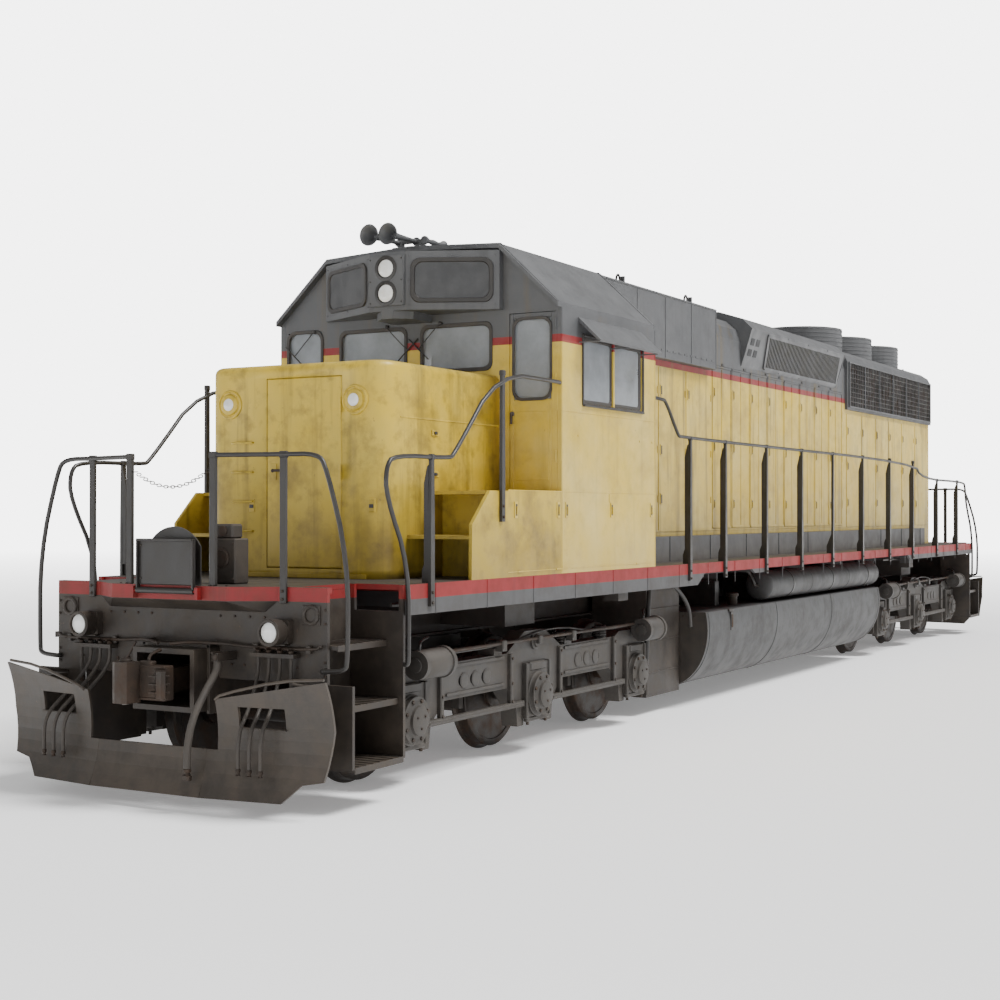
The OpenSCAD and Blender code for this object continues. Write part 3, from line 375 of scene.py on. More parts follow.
class Bench:
    def __init__(self, name, body, *looks):
        self.name, self.body, self.looks = name, body, looks
        self.mesh = bmesh.new()
        self.turn = Matrix.Identity(4)

    def add(self, points, faces, look=0):
        corners = [self.mesh.verts.new(self.turn @ Vector(p)) for p in points]
        for face in faces:
            made = self.mesh.faces.new([corners[i] for i in face])
            made.material_index = look

    def bar(self, low, high, look=0, soft=4):
        """A block with chamfered edges, low and high in millimetres."""
        low, high = mm(*low), mm(*high)
        low, high = Vector(map(min, low, high)), Vector(map(max, low, high))
        mid, half = (low + high) / 2, (high - low) / 2
        cut = min(soft / 1000, 0.45 * min(half))
        points, index = [], {}
        for sx in (-1, 1):
            for sy in (-1, 1):
                for sz in (-1, 1):
                    for axis in range(3):
                        sign = (sx, sy, sz)
                        p = Vector([sign[k] * (half[k] - (0 if k == axis else cut)) for k in range(3)])
                        index[(sx, sy, sz, axis)] = len(points)
                        points.append(mid + p)
        faces = []
        for axis in range(3):
            b, c = (axis + 1) % 3, (axis + 2) % 3
            for s in (-1, 1):
                def key(u, v, ax, s=s, axis=axis, b=b, c=c):
                    sign = [0, 0, 0]
                    sign[axis], sign[b], sign[c] = s, u, v
                    return index[(sign[0], sign[1], sign[2], ax)]
                faces.append([key(-1, -1, axis), key(1, -1, axis), key(1, 1, axis), key(-1, 1, axis)])
                for t in (-1, 1):
                    faces.append([key(t, -1, axis), key(t, 1, axis), key(t, 1, b), key(t, -1, b)])
        for sx in (-1, 1):
            for sy in (-1, 1):
                for sz in (-1, 1):
                    faces.append([index[(sx, sy, sz, a)] for a in range(3)])
        self.add(points, faces, look)

    def turned(self, start, end, profile, look=0, sides=20):
        """A lathe shape on the line from start to end: profile is (distance, radius) in millimetres."""
        start, end = mm(*start), mm(*end)
        ahead = (end - start).normalized()
        side = ahead.orthogonal().normalized()
        up = ahead.cross(side)
        points = []
        for far, radius in profile:
            for k in range(sides):
                a = math.tau * (k + 0.5) / sides
                around = side * math.cos(a) + up * math.sin(a)
                points.append(start + ahead * far / 1000 + around * max(radius, 0.2) / 1000)
        faces = [list(range(sides)), [len(points) - 1 - k for k in range(sides)]]
        for ring in range(len(profile) - 1):
            for k in range(sides):
                a, b = ring * sides + k, ring * sides + (k + 1) % sides
                faces.append([a, b, b + sides, a + sides])
        self.add(points, faces, look)

    def rod(self, start, end, radius, look=0, sides=16, soft=2):
        far = (Vector(end) - Vector(start)).length
        soft = min(soft, radius * 0.4, far * 0.3)
        self.turned(start, end, [(0, radius - soft), (soft, radius), (far - soft, radius),
            (far, radius - soft)], look, sides)

    def bolt(self, place, outward, size=14, look=0):
        place, outward = Vector(place), Vector(outward)
        self.turned(place, place + outward, [(-2, size), (size * 0.6, size), (size * 0.8, size * 0.7)], look, 6)

    def prism(self, outline, axis, near, far, look=0):
        """An outline in millimetres run along x, y or z."""
        def place(p, depth):
            order = {"x": (depth, p[0], p[1]), "y": (p[0], depth, p[1]), "z": (p[0], p[1], depth)}[axis]
            return mm(*order)
        count = len(outline)
        points = [place(p, near) for p in outline] + [place(p, far) for p in outline]
        faces = [list(range(count)), list(range(2 * count - 1, count - 1, -1))]
        faces += [[k, (k + 1) % count, (k + 1) % count + count, k + count] for k in range(count)]
        self.add(points, faces, look)

    def tube(self, route, radius, look=0, sides=10, rounds=2):
        route = [mm(*p) for p in soften(route, rounds)]
        normal, points = None, []
        for k, here in enumerate(route):
            ahead = (route[min(k + 1, len(route) - 1)] - route[max(k - 1, 0)]).normalized()
            normal = ahead.orthogonal() if normal is None else normal - ahead * normal.dot(ahead)
            normal.normalize()
            other = ahead.cross(normal)
            for s in range(sides):
                a = math.tau * s / sides
                points.append(here + (normal * math.cos(a) + other * math.sin(a)) * radius / 1000)
        faces = [list(range(sides)), [len(points) - 1 - s for s in range(sides)]]
        for ring in range(len(route) - 1):
            for s in range(sides):
                a, b = ring * sides + s, ring * sides + (s + 1) % sides
                faces.append([a, b, b + sides, a + sides])
        self.add(points, faces, look)

    def done(self, stands_for=(), smooth=35):
        bmesh.ops.recalc_face_normals(self.mesh, faces=self.mesh.faces)
        data = bpy.data.meshes.new(self.name)
        self.mesh.to_mesh(data)
        self.mesh.free()
        for look in self.looks:
            data.materials.append(look)
        for face in data.polygons:
            face.use_smooth = True
        data.set_sharp_from_angle(angle=math.radians(smooth))
        piece = bpy.data.objects.new(self.name, data)
        bpy.context.scene.collection.objects.link(piece)
        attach(piece, self.body)
        if stands_for:
            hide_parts(*stands_for)
        print(self.name, len(data.polygons), "faces")
        return piece

# %% [markdown]
# ## Routes
# A pipe bender turns sharp corners into arcs. A Bezier curve could do that, but its handles need care.
# Cutting the corners of a plain route a few times gives the same bends from a short list of points.

# %% Routes for pipes and hoses
def soften(route, rounds=2):
    """Rounds the corners of a route by cutting them again and again."""
    route = [Vector(p) for p in route]
    for _ in range(rounds):
        cut = [route[0]]
        for a, b in zip(route, route[1:]):
            cut += [a.lerp(b, 0.25), a.lerp(b, 0.75)]
        route = cut + [route[-1]]
    return route

def spaced(route, count):
    """The same route with evenly spaced points."""
    lengths = [0.0]
    for a, b in zip(route, route[1:]):
        lengths.append(lengths[-1] + (b - a).length)
    out, k = [], 0
    for i in range(count):
        want = lengths[-1] * i / (count - 1)
        while k < len(route) - 2 and lengths[k + 1] < want:
            k += 1
        t = (want - lengths[k]) / max(lengths[k + 1] - lengths[k], 1e-9)
        out.append(route[k].lerp(route[k + 1], min(t, 1)))
    return out

# %% [markdown]
# ## Hoses
# Thick rubber hoses hang from the racks on the end plates and pass through the plow's windows.
# They could be mesh tubes. A curve with a bevel is simpler, because its points are the hose's route,
# so its length and bends can be measured. Each ends in a coupling.

# %% Hoses at both ends
def hose(name, route, radius, turn, big=False):
    points = spaced(soften(route, 3), 18)
    curve = bpy.data.curves.new(name, "CURVE")
    curve.dimensions, curve.bevel_depth, curve.bevel_resolution = "3D", radius / 1000, 3
    curve.use_fill_caps = True
    line = curve.splines.new("POLY")
    line.points.add(len(points) - 1)
    for spot, p in zip(line.points, points):
        spot.co = (*(turn @ mm(*p)), 1)
    curve.materials.append(hose_rubber)
    piece = bpy.data.objects.new(name, curve)
    bpy.context.scene.collection.objects.link(piece)
    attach(piece, BODY)
    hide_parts("air_hoses")
    x, y, z = points[-1]
    tip = Bench(name + "_coupling", BODY, coupler_steel)
    tip.turn = turn
    size = 1.6 if big else 1.0
    tip.turned((x, y, z), (x, y, z - 50),
        [(0, 15 * size), (8, 19 * size), (26, 19 * size), (30, 13 * size), (42, 13 * size), (48, 20 * size)], 0, 12)
    if big:
        tip.turned((x + 24, y, z - 62), (x - 24, y, z - 62), [(0, 20), (6, 27), (42, 27), (48, 20)], 0, 14)
        tip.bar((x - 18, y - 34, z - 88), (x + 18, y + 34, z - 50))
    tip = tip.done(("hose_couplings",))
    length = sum((b - a).length for a, b in zip(points, points[1:])) / 1000
    tuple(turn @ mm(*points[0]))

count = 0
for end_name, end in (("front", FRONT), ("rear", REAR)):
    for side_name, side in (("left", LEFT), ("right", RIGHT)):
        for number, y in enumerate((735, 835, 935)):
            hose(f"{end_name}_{side_name}_jumper_{number + 1}",
                [(9940, y, 1085), (9940, y, 950), (10150, y + 80, 720),
                 (10320, y + 118, 570), (10320, y + 118, 320)], 14, end @ side)
            count += 1
        hose(f"{end_name}_{side_name}_short_jumper", [(9940, 1035, 1085), (9940, 1035, 860)], 14, end @ side)
        count += 1
    hose(f"{end_name}_brake_hose", [(10090, 470, 1050), (10090, 470, 980), (10200, 466, 860), (10350, 458, 660),
         (10400, 450, 450), (10400, 450, 300)], 28, end, True)
    count += 1
print("hoses:", count)

# %% [markdown]
# ## Floor, sky and lamps
# The engine stands on a plain pale floor in soft light. A modelled studio would work too.
# A pale sky and one wide sun are simpler, and give soft shadows that show the shapes.
# The floor glows more with distance, so it melts into the sky without a line.

# %% Floor, sky and lamps
def stage_and_light():
    half_floor, glow_from, glow_to = 260, 13.0, 75.0
    sky_light, sky_seen = 0.50, 5.0
    world = bpy.data.worlds.new("pale_studio")
    bpy.context.scene.world = world
    world.use_nodes = True
    sky = Shade(world.node_tree)
    seen = sky.node("LightPath", out="Is Camera Ray")
    background = world.node_tree.nodes["Background"]
    background.inputs[0].default_value = (1.0, 1.0, 1.0, 1)
    world.node_tree.links.new((seen * sky_seen + sky_light).socket, background.inputs[1])
    data = bpy.data.meshes.new("studio_floor")
    corners = [(x * half_floor, y * half_floor, 0) for x, y in ((-1, -1), (1, -1), (1, 1), (-1, 1))]
    data.from_pydata(corners, [], [(0, 1, 2, 3)])
    floor = bpy.data.objects.new("studio_floor", data)
    bpy.context.scene.collection.objects.link(floor)
    material, shader, shade = new_finish("pale_floor")
    settle(shader, shade, rgb(0.92, 0.92, 0.92), 0.9)
    place = shade.node("TexCoord", out="Object")
    away = shade.node("VectorMath", {"operation": "LENGTH"}, {0: place}, out=1)
    glow = shade.node("MapRange", {"clamp": True}, {"Value": away, "From Min": glow_from, "From Max": glow_to})
    shade.tree.links.new(glow.blend(rgb(0.055, 0.055, 0.055), rgb(1, 1, 1)).socket, shader.inputs["Emission Color"])
    shader.inputs["Emission Strength"].default_value = 4.0
    data.materials.append(material)
    for name, aim, power, angle in (("soft_sun", (-0.25, 0.62, 1.0), 4.5, 20),
            ("front_fill", (0.9, 0.1, 0.4), 0.30, 40)):
        lamp = bpy.data.lights.new(name, "SUN")
        lamp.energy, lamp.angle = power, math.radians(angle)
        sun = bpy.data.objects.new(name, lamp)
        bpy.context.scene.collection.objects.link(sun)
        sun.rotation_euler = Vector(aim).to_track_quat("Z", "Y").to_euler()

stage_and_light()
print("stage set")

# %% [markdown]
# ## Nose
# The low nose is folded from sheet, with rounded corners and a softened top edge.
# A bevelled box would look right from afar, but it would have no doorway.
# Rings of points at rising heights are joined into a skin instead, and the faces of the doorway are left out.

# %% Nose skin
def nose_skin():
    low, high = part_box("nose_shell")
    back, front, half = low[0] * 1000, high[0] * 1000, high[1] * 1000
    top = (high[2] - rail_top) * 1000
    deck, lid, corner, roll = 1602, top - 62, 215, 60
    def ring(inset, z):
        radius, steps = corner - inset, 10
        x1, y1 = front - inset - radius, half - inset - radius
        angles = [math.pi / 2 * k / steps for k in range(steps + 1)]
        right = [(x1 + radius * math.sin(a), -y1 - radius * math.cos(a)) for a in angles]
        left = [(x, -y) for x, y in reversed(right)]
        straight = [(front - inset, y) for y in (-260, 130, 520)]
        return [(x, y, z) for x, y in [(back, -half + inset)] + right + straight + left + [(back, half - inset)]]
    rings = [ring(0, z) for z in (deck, 1680, 2400, 3279, lid)]
    for k in range(1, 7):
        a = math.pi / 2 * k / 6
        rings.append(ring(roll * (1 - math.cos(a)), lid + roll * math.sin(a)))
    bench = Bench("nose_skin", BODY, nose_paint)
    count = len(rings[0])
    points = [mm(*p) for r in rings for p in r]
    door_from, door_to, door_bands = 12, 14, (1, 2)
    faces = []
    for r in range(len(rings) - 1):
        for k in range(count - 1):
            if r in door_bands and door_from <= k < door_to:
                continue
            a = r * count + k
            faces.append([a, a + 1, a + 1 + count, a + count])
    faces.append([(len(rings) - 1) * count + k for k in range(count)])
    bench.add(points, faces)
    piece = bench.done(("nose_shell",), 25)
    plate = piece.modifiers.new("sheet", "SOLIDIFY")
    plate.thickness, plate.offset = 0.02, -1
    return piece

nose_skin()

# %% [markdown]
# ## Nose door and its hardware
# A flat steel door with three hinges, a lock and a handle closes the nose. Round it sit two lamps with
# bolted rims, grab irons and latches. Bevelled primitives could be placed by hand. Bars, lathe shapes and
# tubes in code are quicker to move, and the door is its own piece because it swings.

# %% Nose door and its hardware
def nose_door():
    door = Bench("nose_door_leaf", "nose_door", nose_paint, coupler_steel)
    door.bar((8540, -255, 1685), (8582, 515, 3275), 0, 10)
    for z in (1930, 2480, 3030):
        door.rod((8588, 507, z - 60), (8588, 507, z + 60), 9, 0)
        door.bar((8581, 420, z - 28), (8587, 506, z + 28), 0, 2)
    door.bar((8581, -215, 2420), (8592, -150, 2560), 0, 4)
    door.turned((8588, -185, 2500), (8602, -185, 2500), [(0, 16), (8, 16), (12, 8)], 1)
    door.bar((8592, -190, 2490), (8604, -60, 2512), 1, 3)
    door.done(("nose_door",))
    trim = Bench("nose_trim", BODY, nose_paint, rail_paint, lens, pilot_paint)
    for y in (-650, 650):
        trim.turned((8574, y, 3070), (8610, y, 3070), [(0, 126), (14, 126), (20, 120), (21, 110), (15, 106), (14, 92),
            (26, 88), (32, 80), (33, 62)], 0, 36)
        trim.turned((8590, y, 3070), (8612, y, 3070), [(0, 60), (12, 60), (20, 48), (24, 24)], 2, 24)
        for k in range(8):
            a = math.tau * k / 8
            trim.bolt((8588, y + 99 * math.cos(a), 3070 + 99 * math.sin(a)), (1, 0, 0), 8, 0)
    for z in (1990, 2240, 2490, 2740):
        trim.tube([(8578, -610, z), (8620, -610, z), (8620, -400, z), (8578, -400, z)], 9, 0)
    trim.bar((8576, -700, 1604), (8584, 760, 1640), 0, 3)
    for y in (-440, 790):
        trim.bar((8560, y, 2150), (8590, y + 60, 2260), 0, 4)
        trim.bar((8588, y + 10, 2185), (8600, y + 50, 2215), 1, 3)
    trim.bar((8300, -60, 3396), (8420, 60, 3408), 0, 4)
    for side in (LEFT, RIGHT):
        trim.turn = side
        for x in (7000, 7700, 8250):
            trim.rod((x, 880, 3372), (x + 55, 880, 3372), 10, 0)
        trim.bar((6700, 926, 2930), (8330, 934, 2944), 0, 2)
        for z in (2450, 2800):
            trim.bar((7750, 928, z), (7850, 940, z + 50), 0, 3)
            trim.bar((7780, 938, z + 10), (7820, 952, z + 36), 1, 3)
    trim.done()

nose_door()

# %% [markdown]
# ## Window rubbers
# Each pane is held by a dark rubber strip with rounded corners. A bevelled curve would give a round cord.
# Moulded rubber has a flat lip, so the strip is made from five offsets of the opening's outline.

# %% Gaskets and wipers
def rounded_loop(a0, a1, b0, b1, radius, steps=4):
    out = []
    for ca, cb, start in ((a1 - radius, b1 - radius, 0), (a0 + radius, b1 - radius, 90),
            (a0 + radius, b0 + radius, 180), (a1 - radius, b0 + radius, 270)):
        for k in range(steps + 1):
            t = math.radians(start + 90 * k / steps)
            out.append((ca + radius * math.cos(t), cb + radius * math.sin(t)))
    return out

def strip(bench, loop, place, outward, width=16, deep=10, look=0):
    """A flat band round a loop: place turns (a, b, out) into a point."""
    count, points, faces = len(loop), [], []
    mid_a = sum(p[0] for p in loop) / count
    mid_b = sum(p[1] for p in loop) / count
    half_a = max(abs(p[0] - mid_a) for p in loop)
    half_b = max(abs(p[1] - mid_b) for p in loop)
    for lip, lift in ((0, 0), (width, deep * 0.2), (width * 0.8, deep), (-width * 0.4, deep), (-width * 0.7, 0)):
        for a, b in loop:
            points.append(mm(*place(mid_a + (a - mid_a) * (half_a + lip) / half_a,
                                    mid_b + (b - mid_b) * (half_b + lip) / half_b, lift * outward)))
    for ring in range(4):
        for k in range(count):
            n = (k + 1) % count
            faces.append([ring * count + k, ring * count + n, (ring + 1) * count + n, (ring + 1) * count + k])
    bench.add(points, faces, look)

# %% [markdown]
# ## Cab windows and doors
# The windshields carry a wiper each, the side windows sit in an outer frame, and the cab doors have
# a window, a stamped panel and a latch. The doors could be cut from one plate with Boolean.
# Four plates round a pane give the same opening with clean edges.

# %% Cab windows and doors
def cab_windows():
    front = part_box("cab_shell")[1][0] * 1000
    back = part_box("cab_shell")[0][0] * 1000
    side_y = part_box("cab_shell")[1][1] * 1000
    trim = Bench("window_gaskets", BODY, gasket, rail_paint, bright_steel, cab_paint)
    ahead = lambda a, b, out: (front + out, a, b)
    for y in (-465, 465):
        strip(trim, rounded_loop(y - 372, y + 372, 3473, 3887, 70), ahead, 1, 22, 12)
    strip(trim, rounded_loop(-1472, -1068, 3163, 3917, 90), ahead, 1, 20, 12)
    strip(trim, rounded_loop(1068, 1472, 3163, 3917, 90), lambda a, b, out: (back + out, a, b), -1, 20, 12)
    for side in (LEFT, RIGHT):
        trim.turn = side
        outside = lambda a, b, out: (a, side_y + out, b)
        strip(trim, rounded_loop(4930, 6260, 3140, 3780, 12, 1), outside, 1, 14, 14, 1)
        for x0, x1 in ((4945, 5600), (5600, 6250)):
            sash = rounded_loop(x0 + 26, x1 - 26, 3172, 3748, 40)
            strip(trim, sash, lambda a, b, out: (a, side_y - 24 + out, b), 1, 24, 14)
        trim.bar((5586, side_y - 22, 3150), (5616, side_y + 8, 3770), 3, 3)
        trim.bar((4930, side_y - 2, 3122), (6260, side_y + 26, 3142), 1, 4)
    trim.turn = LEFT
    for y, reach in ((300, -1), (-300, 1), (-1150, -1)):
        top = 3915
        trim.turned((front - 2, y, top), (front + 34, y, top), [(0, 20), (24, 20), (32, 12)], 1, 12)
        trim.tube([(front + 26, y, top), (front + 30, y + reach * 150, top - 150),
            (front + 18, y + reach * 240, top - 230)], 5, 1)
        trim.tube([(front + 14, y + reach * 130, top - 330), (front + 16, y + reach * 240, top - 230),
            (front + 14, y + reach * 350, top - 130)], 7, 1, rounds=1)
    trim.done()
    to_rear = Matrix.Translation(((back + front) / 1000, 0, 0)) @ REAR
    for body, turn in (("cab_front_door", Matrix.Identity(4)), ("cab_rear_door", to_rear)):
        door = Bench(body + "_leaf", body, cab_paint, gasket, window_glass, bright_steel)
        door.turn = turn
        y0, y1, z0, z1 = 1038, 1527, 2343, 3957
        door.bar((front - 45, y0, z0), (front - 2, 1077, z1), 0, 5)
        door.bar((front - 45, 1463, z0), (front - 2, y1, z1), 0, 5)
        door.bar((front - 45, 1076, z0), (front - 2, 1464, 3172), 0, 5)
        door.bar((front - 45, 1076, 3908), (front - 2, 1464, z1), 0, 5)
        door.bar((front - 30, 1074, 3168), (front - 22, 1466, 3912), 2, 1)
        strip(door, rounded_loop(1080, 1460, 3175, 3905, 90), ahead, 1, 16, 10, 1)
        door.bar((front - 3, 1100, 2440), (front + 3, 1440, 3060), 0, 4)
        for z in (2650, 3350, 3850):
            door.rod((front + 5, 1514, z - 55), (front + 5, 1514, z + 55), 9, 0)
        door.turned((front - 2, 1065, 3045), (front + 22, 1065, 3045), [(0, 22), (10, 22), (14, 12), (24, 12)], 3)
        door.bar((front + 18, 1052, 2950), (front + 32, 1078, 3058), 3, 4)
        door.done((body,))

cab_windows()

# %% [markdown]
# ## Lamp housing, boards and horns
# Above the windshields two headlamps sit between slanted boards, which are left blank.
# Three horn bells point ahead and behind from one bar. Bells and lamps could be stacked cylinders.
# A lathe profile is easier to adjust, and gives the flare in one list of numbers.

# %% Lamp housing, number boards and horns
def lamp_housing():
    trim = Bench("lamp_housing_trim", BODY, roof_paint, board_paint, lens, rail_paint)
    for side in (LEFT, RIGHT):
        trim.turn = side
        a, b = Vector((6750, 970)), Vector((7130, 200))
        along, out = (b - a).normalized(), Vector(((a - b).y, -(a - b).x)).normalized()
        place = lambda s, h, o: (*(a + along * s + out * o), h)
        strip(trim, rounded_loop(80, 790, 4090, 4450, 80, 5), place, 1, 26, 16, 3)
        inner = [mm(*place(s, h, 4)) for s, h in rounded_loop(80, 790, 4090, 4450, 80, 5)]
        trim.add(inner, [list(range(len(inner)))], 1)
        for s, h in ((40, 4050), (440, 4050), (830, 4050), (40, 4495), (440, 4495), (830, 4495),
                (40, 4270), (830, 4270)):
            trim.bolt(place(s, h, 0), Vector((out.x, out.y, 0)), 8, 0)
    trim.turn = LEFT
    for z in (4160, 4390):
        trim.turned((7158, 0, z), (7172, 0, z), [(0, 118), (6, 118), (10, 104), (11, 92), (2, 88)], 3, 32)
        trim.turned((7140, 0, z), (7172, 0, z), [(0, 84), (18, 84), (26, 66), (30, 30)], 2, 28)
    for y in (-170, 170):
        for z in (4075, 4275, 4475):
            trim.bolt((7160, y, z), (1, 0, 0), 8, 3)
    trim.done()
    horns = Bench("three_bell_horn", BODY, roof_paint)
    hub, z = 6650, 4715
    for y, facing, length, bell in ((-190, 1, 508, 102), (0, 1, 480, 102), (110, -1, 326, 46)):
        horns.turned((hub, y, z), (hub + facing * length, y, z), [(0, 16), (30, 24), (60, 20), (length - 190, 28),
            (length - 100, 0.36 * bell), (length - 50, 0.62 * bell), (length - 14, 0.96 * bell), (length, bell),
            (length - 6, 0.90 * bell), (length - 60, 0.52 * bell), (length - 130, 0.25 * bell)], 0, 28)
        horns.turned((hub - facing * 30, y, z), (hub, y, z), [(0, 34), (6, 42), (24, 42), (30, 30)], 0, 20)
    horns.rod((hub, -228, z), (hub, 148, z), 20, 0)
    for y in (-150, 70):
        horns.bar((hub - 30, y - 12, 4644), (hub + 30, y + 12, z - 2), 0, 4)
    horns.bar((hub - 60, -228, 4636), (hub + 60, 148, 4664), 0, 5)
    horns.done(("air_horns",))

lamp_housing()

# %% [markdown]
# ## Cab sides
# Seams, locker doors with small latches and hinges are what make the panels read as sheet metal.
# A bump pattern could draw them, but only real edges catch a highlight in low light.
# Each is a shallow bar or turned rod that touches the panel that it belongs to.

# %% Cab and roof hardware
def cab_hardware():
    trim = Bench("cab_hardware", BODY, cab_paint, rail_paint, roof_paint)
    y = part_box("cab_shell")[1][1] * 1000
    for side in (LEFT, RIGHT):
        trim.turn = side
        trim.bar((4630, y - 2, 3058), (6672, y + 4, 3070), 0, 2)
        trim.bar((4630, y - 2, 2330), (7660, y + 3, 2340), 0, 1)
        trim.bar((4630, y - 2, 1640), (7660, y + 3, 1648), 0, 1)
        for x in (4622, 6662):
            trim.bar((x, y - 2, 1620), (x + 10, y + 3, 3985), 0, 1)
        for x in (4700, 5620, 6560, 6720, 7500):
            trim.bar((x, y - 2, 2100), (x + 52, y + 8, 2240), 0, 5)
            trim.bar((x + 14, y + 5, 2120), (x + 38, y + 11, 2220), 1, 4)
            trim.bar((x + 19, y + 9, 2130), (x + 33, y + 22, 2200), 0, 5)
        trim.bar((5600, y - 2, 2240), (5700, y + 5, 2320), 0, 3)
        for x in (5000, 6700, 7400):
            trim.rod((x, y + 3, 1644), (x + 90, y + 3, 1644), 7, 0)
        for x in (4700, 5000, 6350):
            trim.turned((x, y - 2, 2850), (x, y + 6, 2850), [(0, 12), (6, 12), (8, 6)], 0, 12)
        for x in (4990, 5640, 6320):
            trim.bar((x, y, 3700), (x + 14, y + 200, 3712), 2, 2)
        trim.bar((6672, y - 60, 3060), (6682, y - 40, 3985), 0, 2)
        for x in (4640, 6740):
            trim.prism([(x, 4002), (x + 16, 4002), (x + 16, 4040), (x, 4040)], "y", y - 8, y + 2, 2)
    for x in (4660, 6700):
        for side in (LEFT, RIGHT):
            trim.turn = side
            outline = [(0, 4652), (960, 4602), (1568, 4033), (1568, 4040), (963, 4611), (0, 4661)]
            trim.prism(outline, "x", x, x + 26, 2)
    trim.turn = LEFT
    trim.bar((5100, -260, 4640), (5800, 260, 4690), 2, 14)
    trim.done()

cab_hardware()

# %% [markdown]
# ## Roof hardware
# The filter hatch is bolted together from panels, and rings beside it take a crane's hooks.
# A torus would bury half of itself in the roof, so each ring is a short bent tube that stands on it.

# %% Roof hardware
def roof_hardware():
    trim = Bench("hood_roof_hardware", BODY, roof_paint, rail_paint)
    low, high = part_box("air_filter_hatch")
    x0, x1, y1 = low[0] * 1000, high[0] * 1000, high[1] * 1000
    for x in (x0 + 4, x0 + 760, x0 + 1510, x0 + 2260, x1 - 16):
        trim.bar((x, -y1 - 5, 3870), (x + 12, -y1 + 1, 4555), 0, 2)
        trim.bar((x, y1 - 1, 3870), (x + 12, y1 + 5, 4555), 0, 2)
    for side in (LEFT, RIGHT):
        trim.turn = side
        for k in range(18):
            trim.bar((x0 + 60 + k * 165, y1 - 2, 3940), (x0 + 150 + k * 165, y1 + 5, 3962), 0, 2)
        trim.bar((x0, y1 - 3, 4556), (x1, y1 + 7, 4576), 0, 4)
        # Lifting rings
        for x in (1760, 3650, -8500):
            z = 4700 if x > 0 else 4640
            y = 720 if x > 0 else 560
            trim.tube([(x, y, z - 60), (x, y, z + 10), (x + 45, y, z + 50), (x + 90, y, z + 10),
                (x + 90, y, z - 60)], 12, 1)
    trim.turn = LEFT
    trim.done()

roof_hardware()

# %% [markdown]
# ## Dynamic brake louvres
# Air for the brake resistors enters through slanted slots on the flared sides. A dark plate behind the slats and two
# dark patches for small slots are painted shade.
# An array of thin boxes would lie level, but these lie on a leaning plane.
# So each slat is made from four points on that plane.

# %% Brake louvres
def brake_louvres():
    bench = Bench("brake_louvres", BODY, roof_paint, shadow_mesh, duct_paint)
    def on_flare(x, t, out):
        low, high = Vector((910, 3990)), Vector((1060, 4470))
        across = (high - low).normalized()
        p = low.lerp(high, t) + Vector((across.y, -across.x)) * out
        return mm(x, p.x, p.y)
    def slab(x0, x1, t0, t1, lean, out, look):
        corners = [(x0, t0), (x1, t0), (x1 + lean, t1), (x0 + lean, t1)]
        points = [on_flare(x, t, -2) for x, t in corners] + [on_flare(x, t, out) for x, t in corners]
        faces = [[0, 1, 2, 3], [7, 6, 5, 4]] + [[k, (k + 1) % 4, (k + 1) % 4 + 4, k + 4] for k in range(4)]
        bench.add(points, faces, look)
    first, slats, pitch = -3330, 56, 54
    for side in (LEFT, RIGHT):
        bench.turn = side
        # Dark plate behind the slats: painted shade in the gaps between them.
        slab(first, -330, 0.12, 0.88, 150, 3, 1)
        for k in range(slats):
            x = first + k * pitch
            slab(x, x + 22, 0.12, 0.88, 150, 16, 2)
        slab(-3370, -330, 0.05, 0.12, 14, 18, 0)
        slab(-3200, -150, 0.88, 0.95, 14, 18, 0)
        slab(-3375, -3330, 0.08, 0.92, 155, 18, 0)
        slab(-330, -285, 0.08, 0.92, 155, 18, 0)
        # Dark patches for two small slots: painted shade inside them.
        for x in (60, 250):
            for t in (0.30, 0.58):
                slab(x, x + 120, t, t + 0.18, 12, 4, 1)
        for x in (-3415, -2600, -1760, -920, 465):
            slab(x, x + 12, 0.02, 1.0, 0, 6, 0)
    bench.done()

brake_louvres()
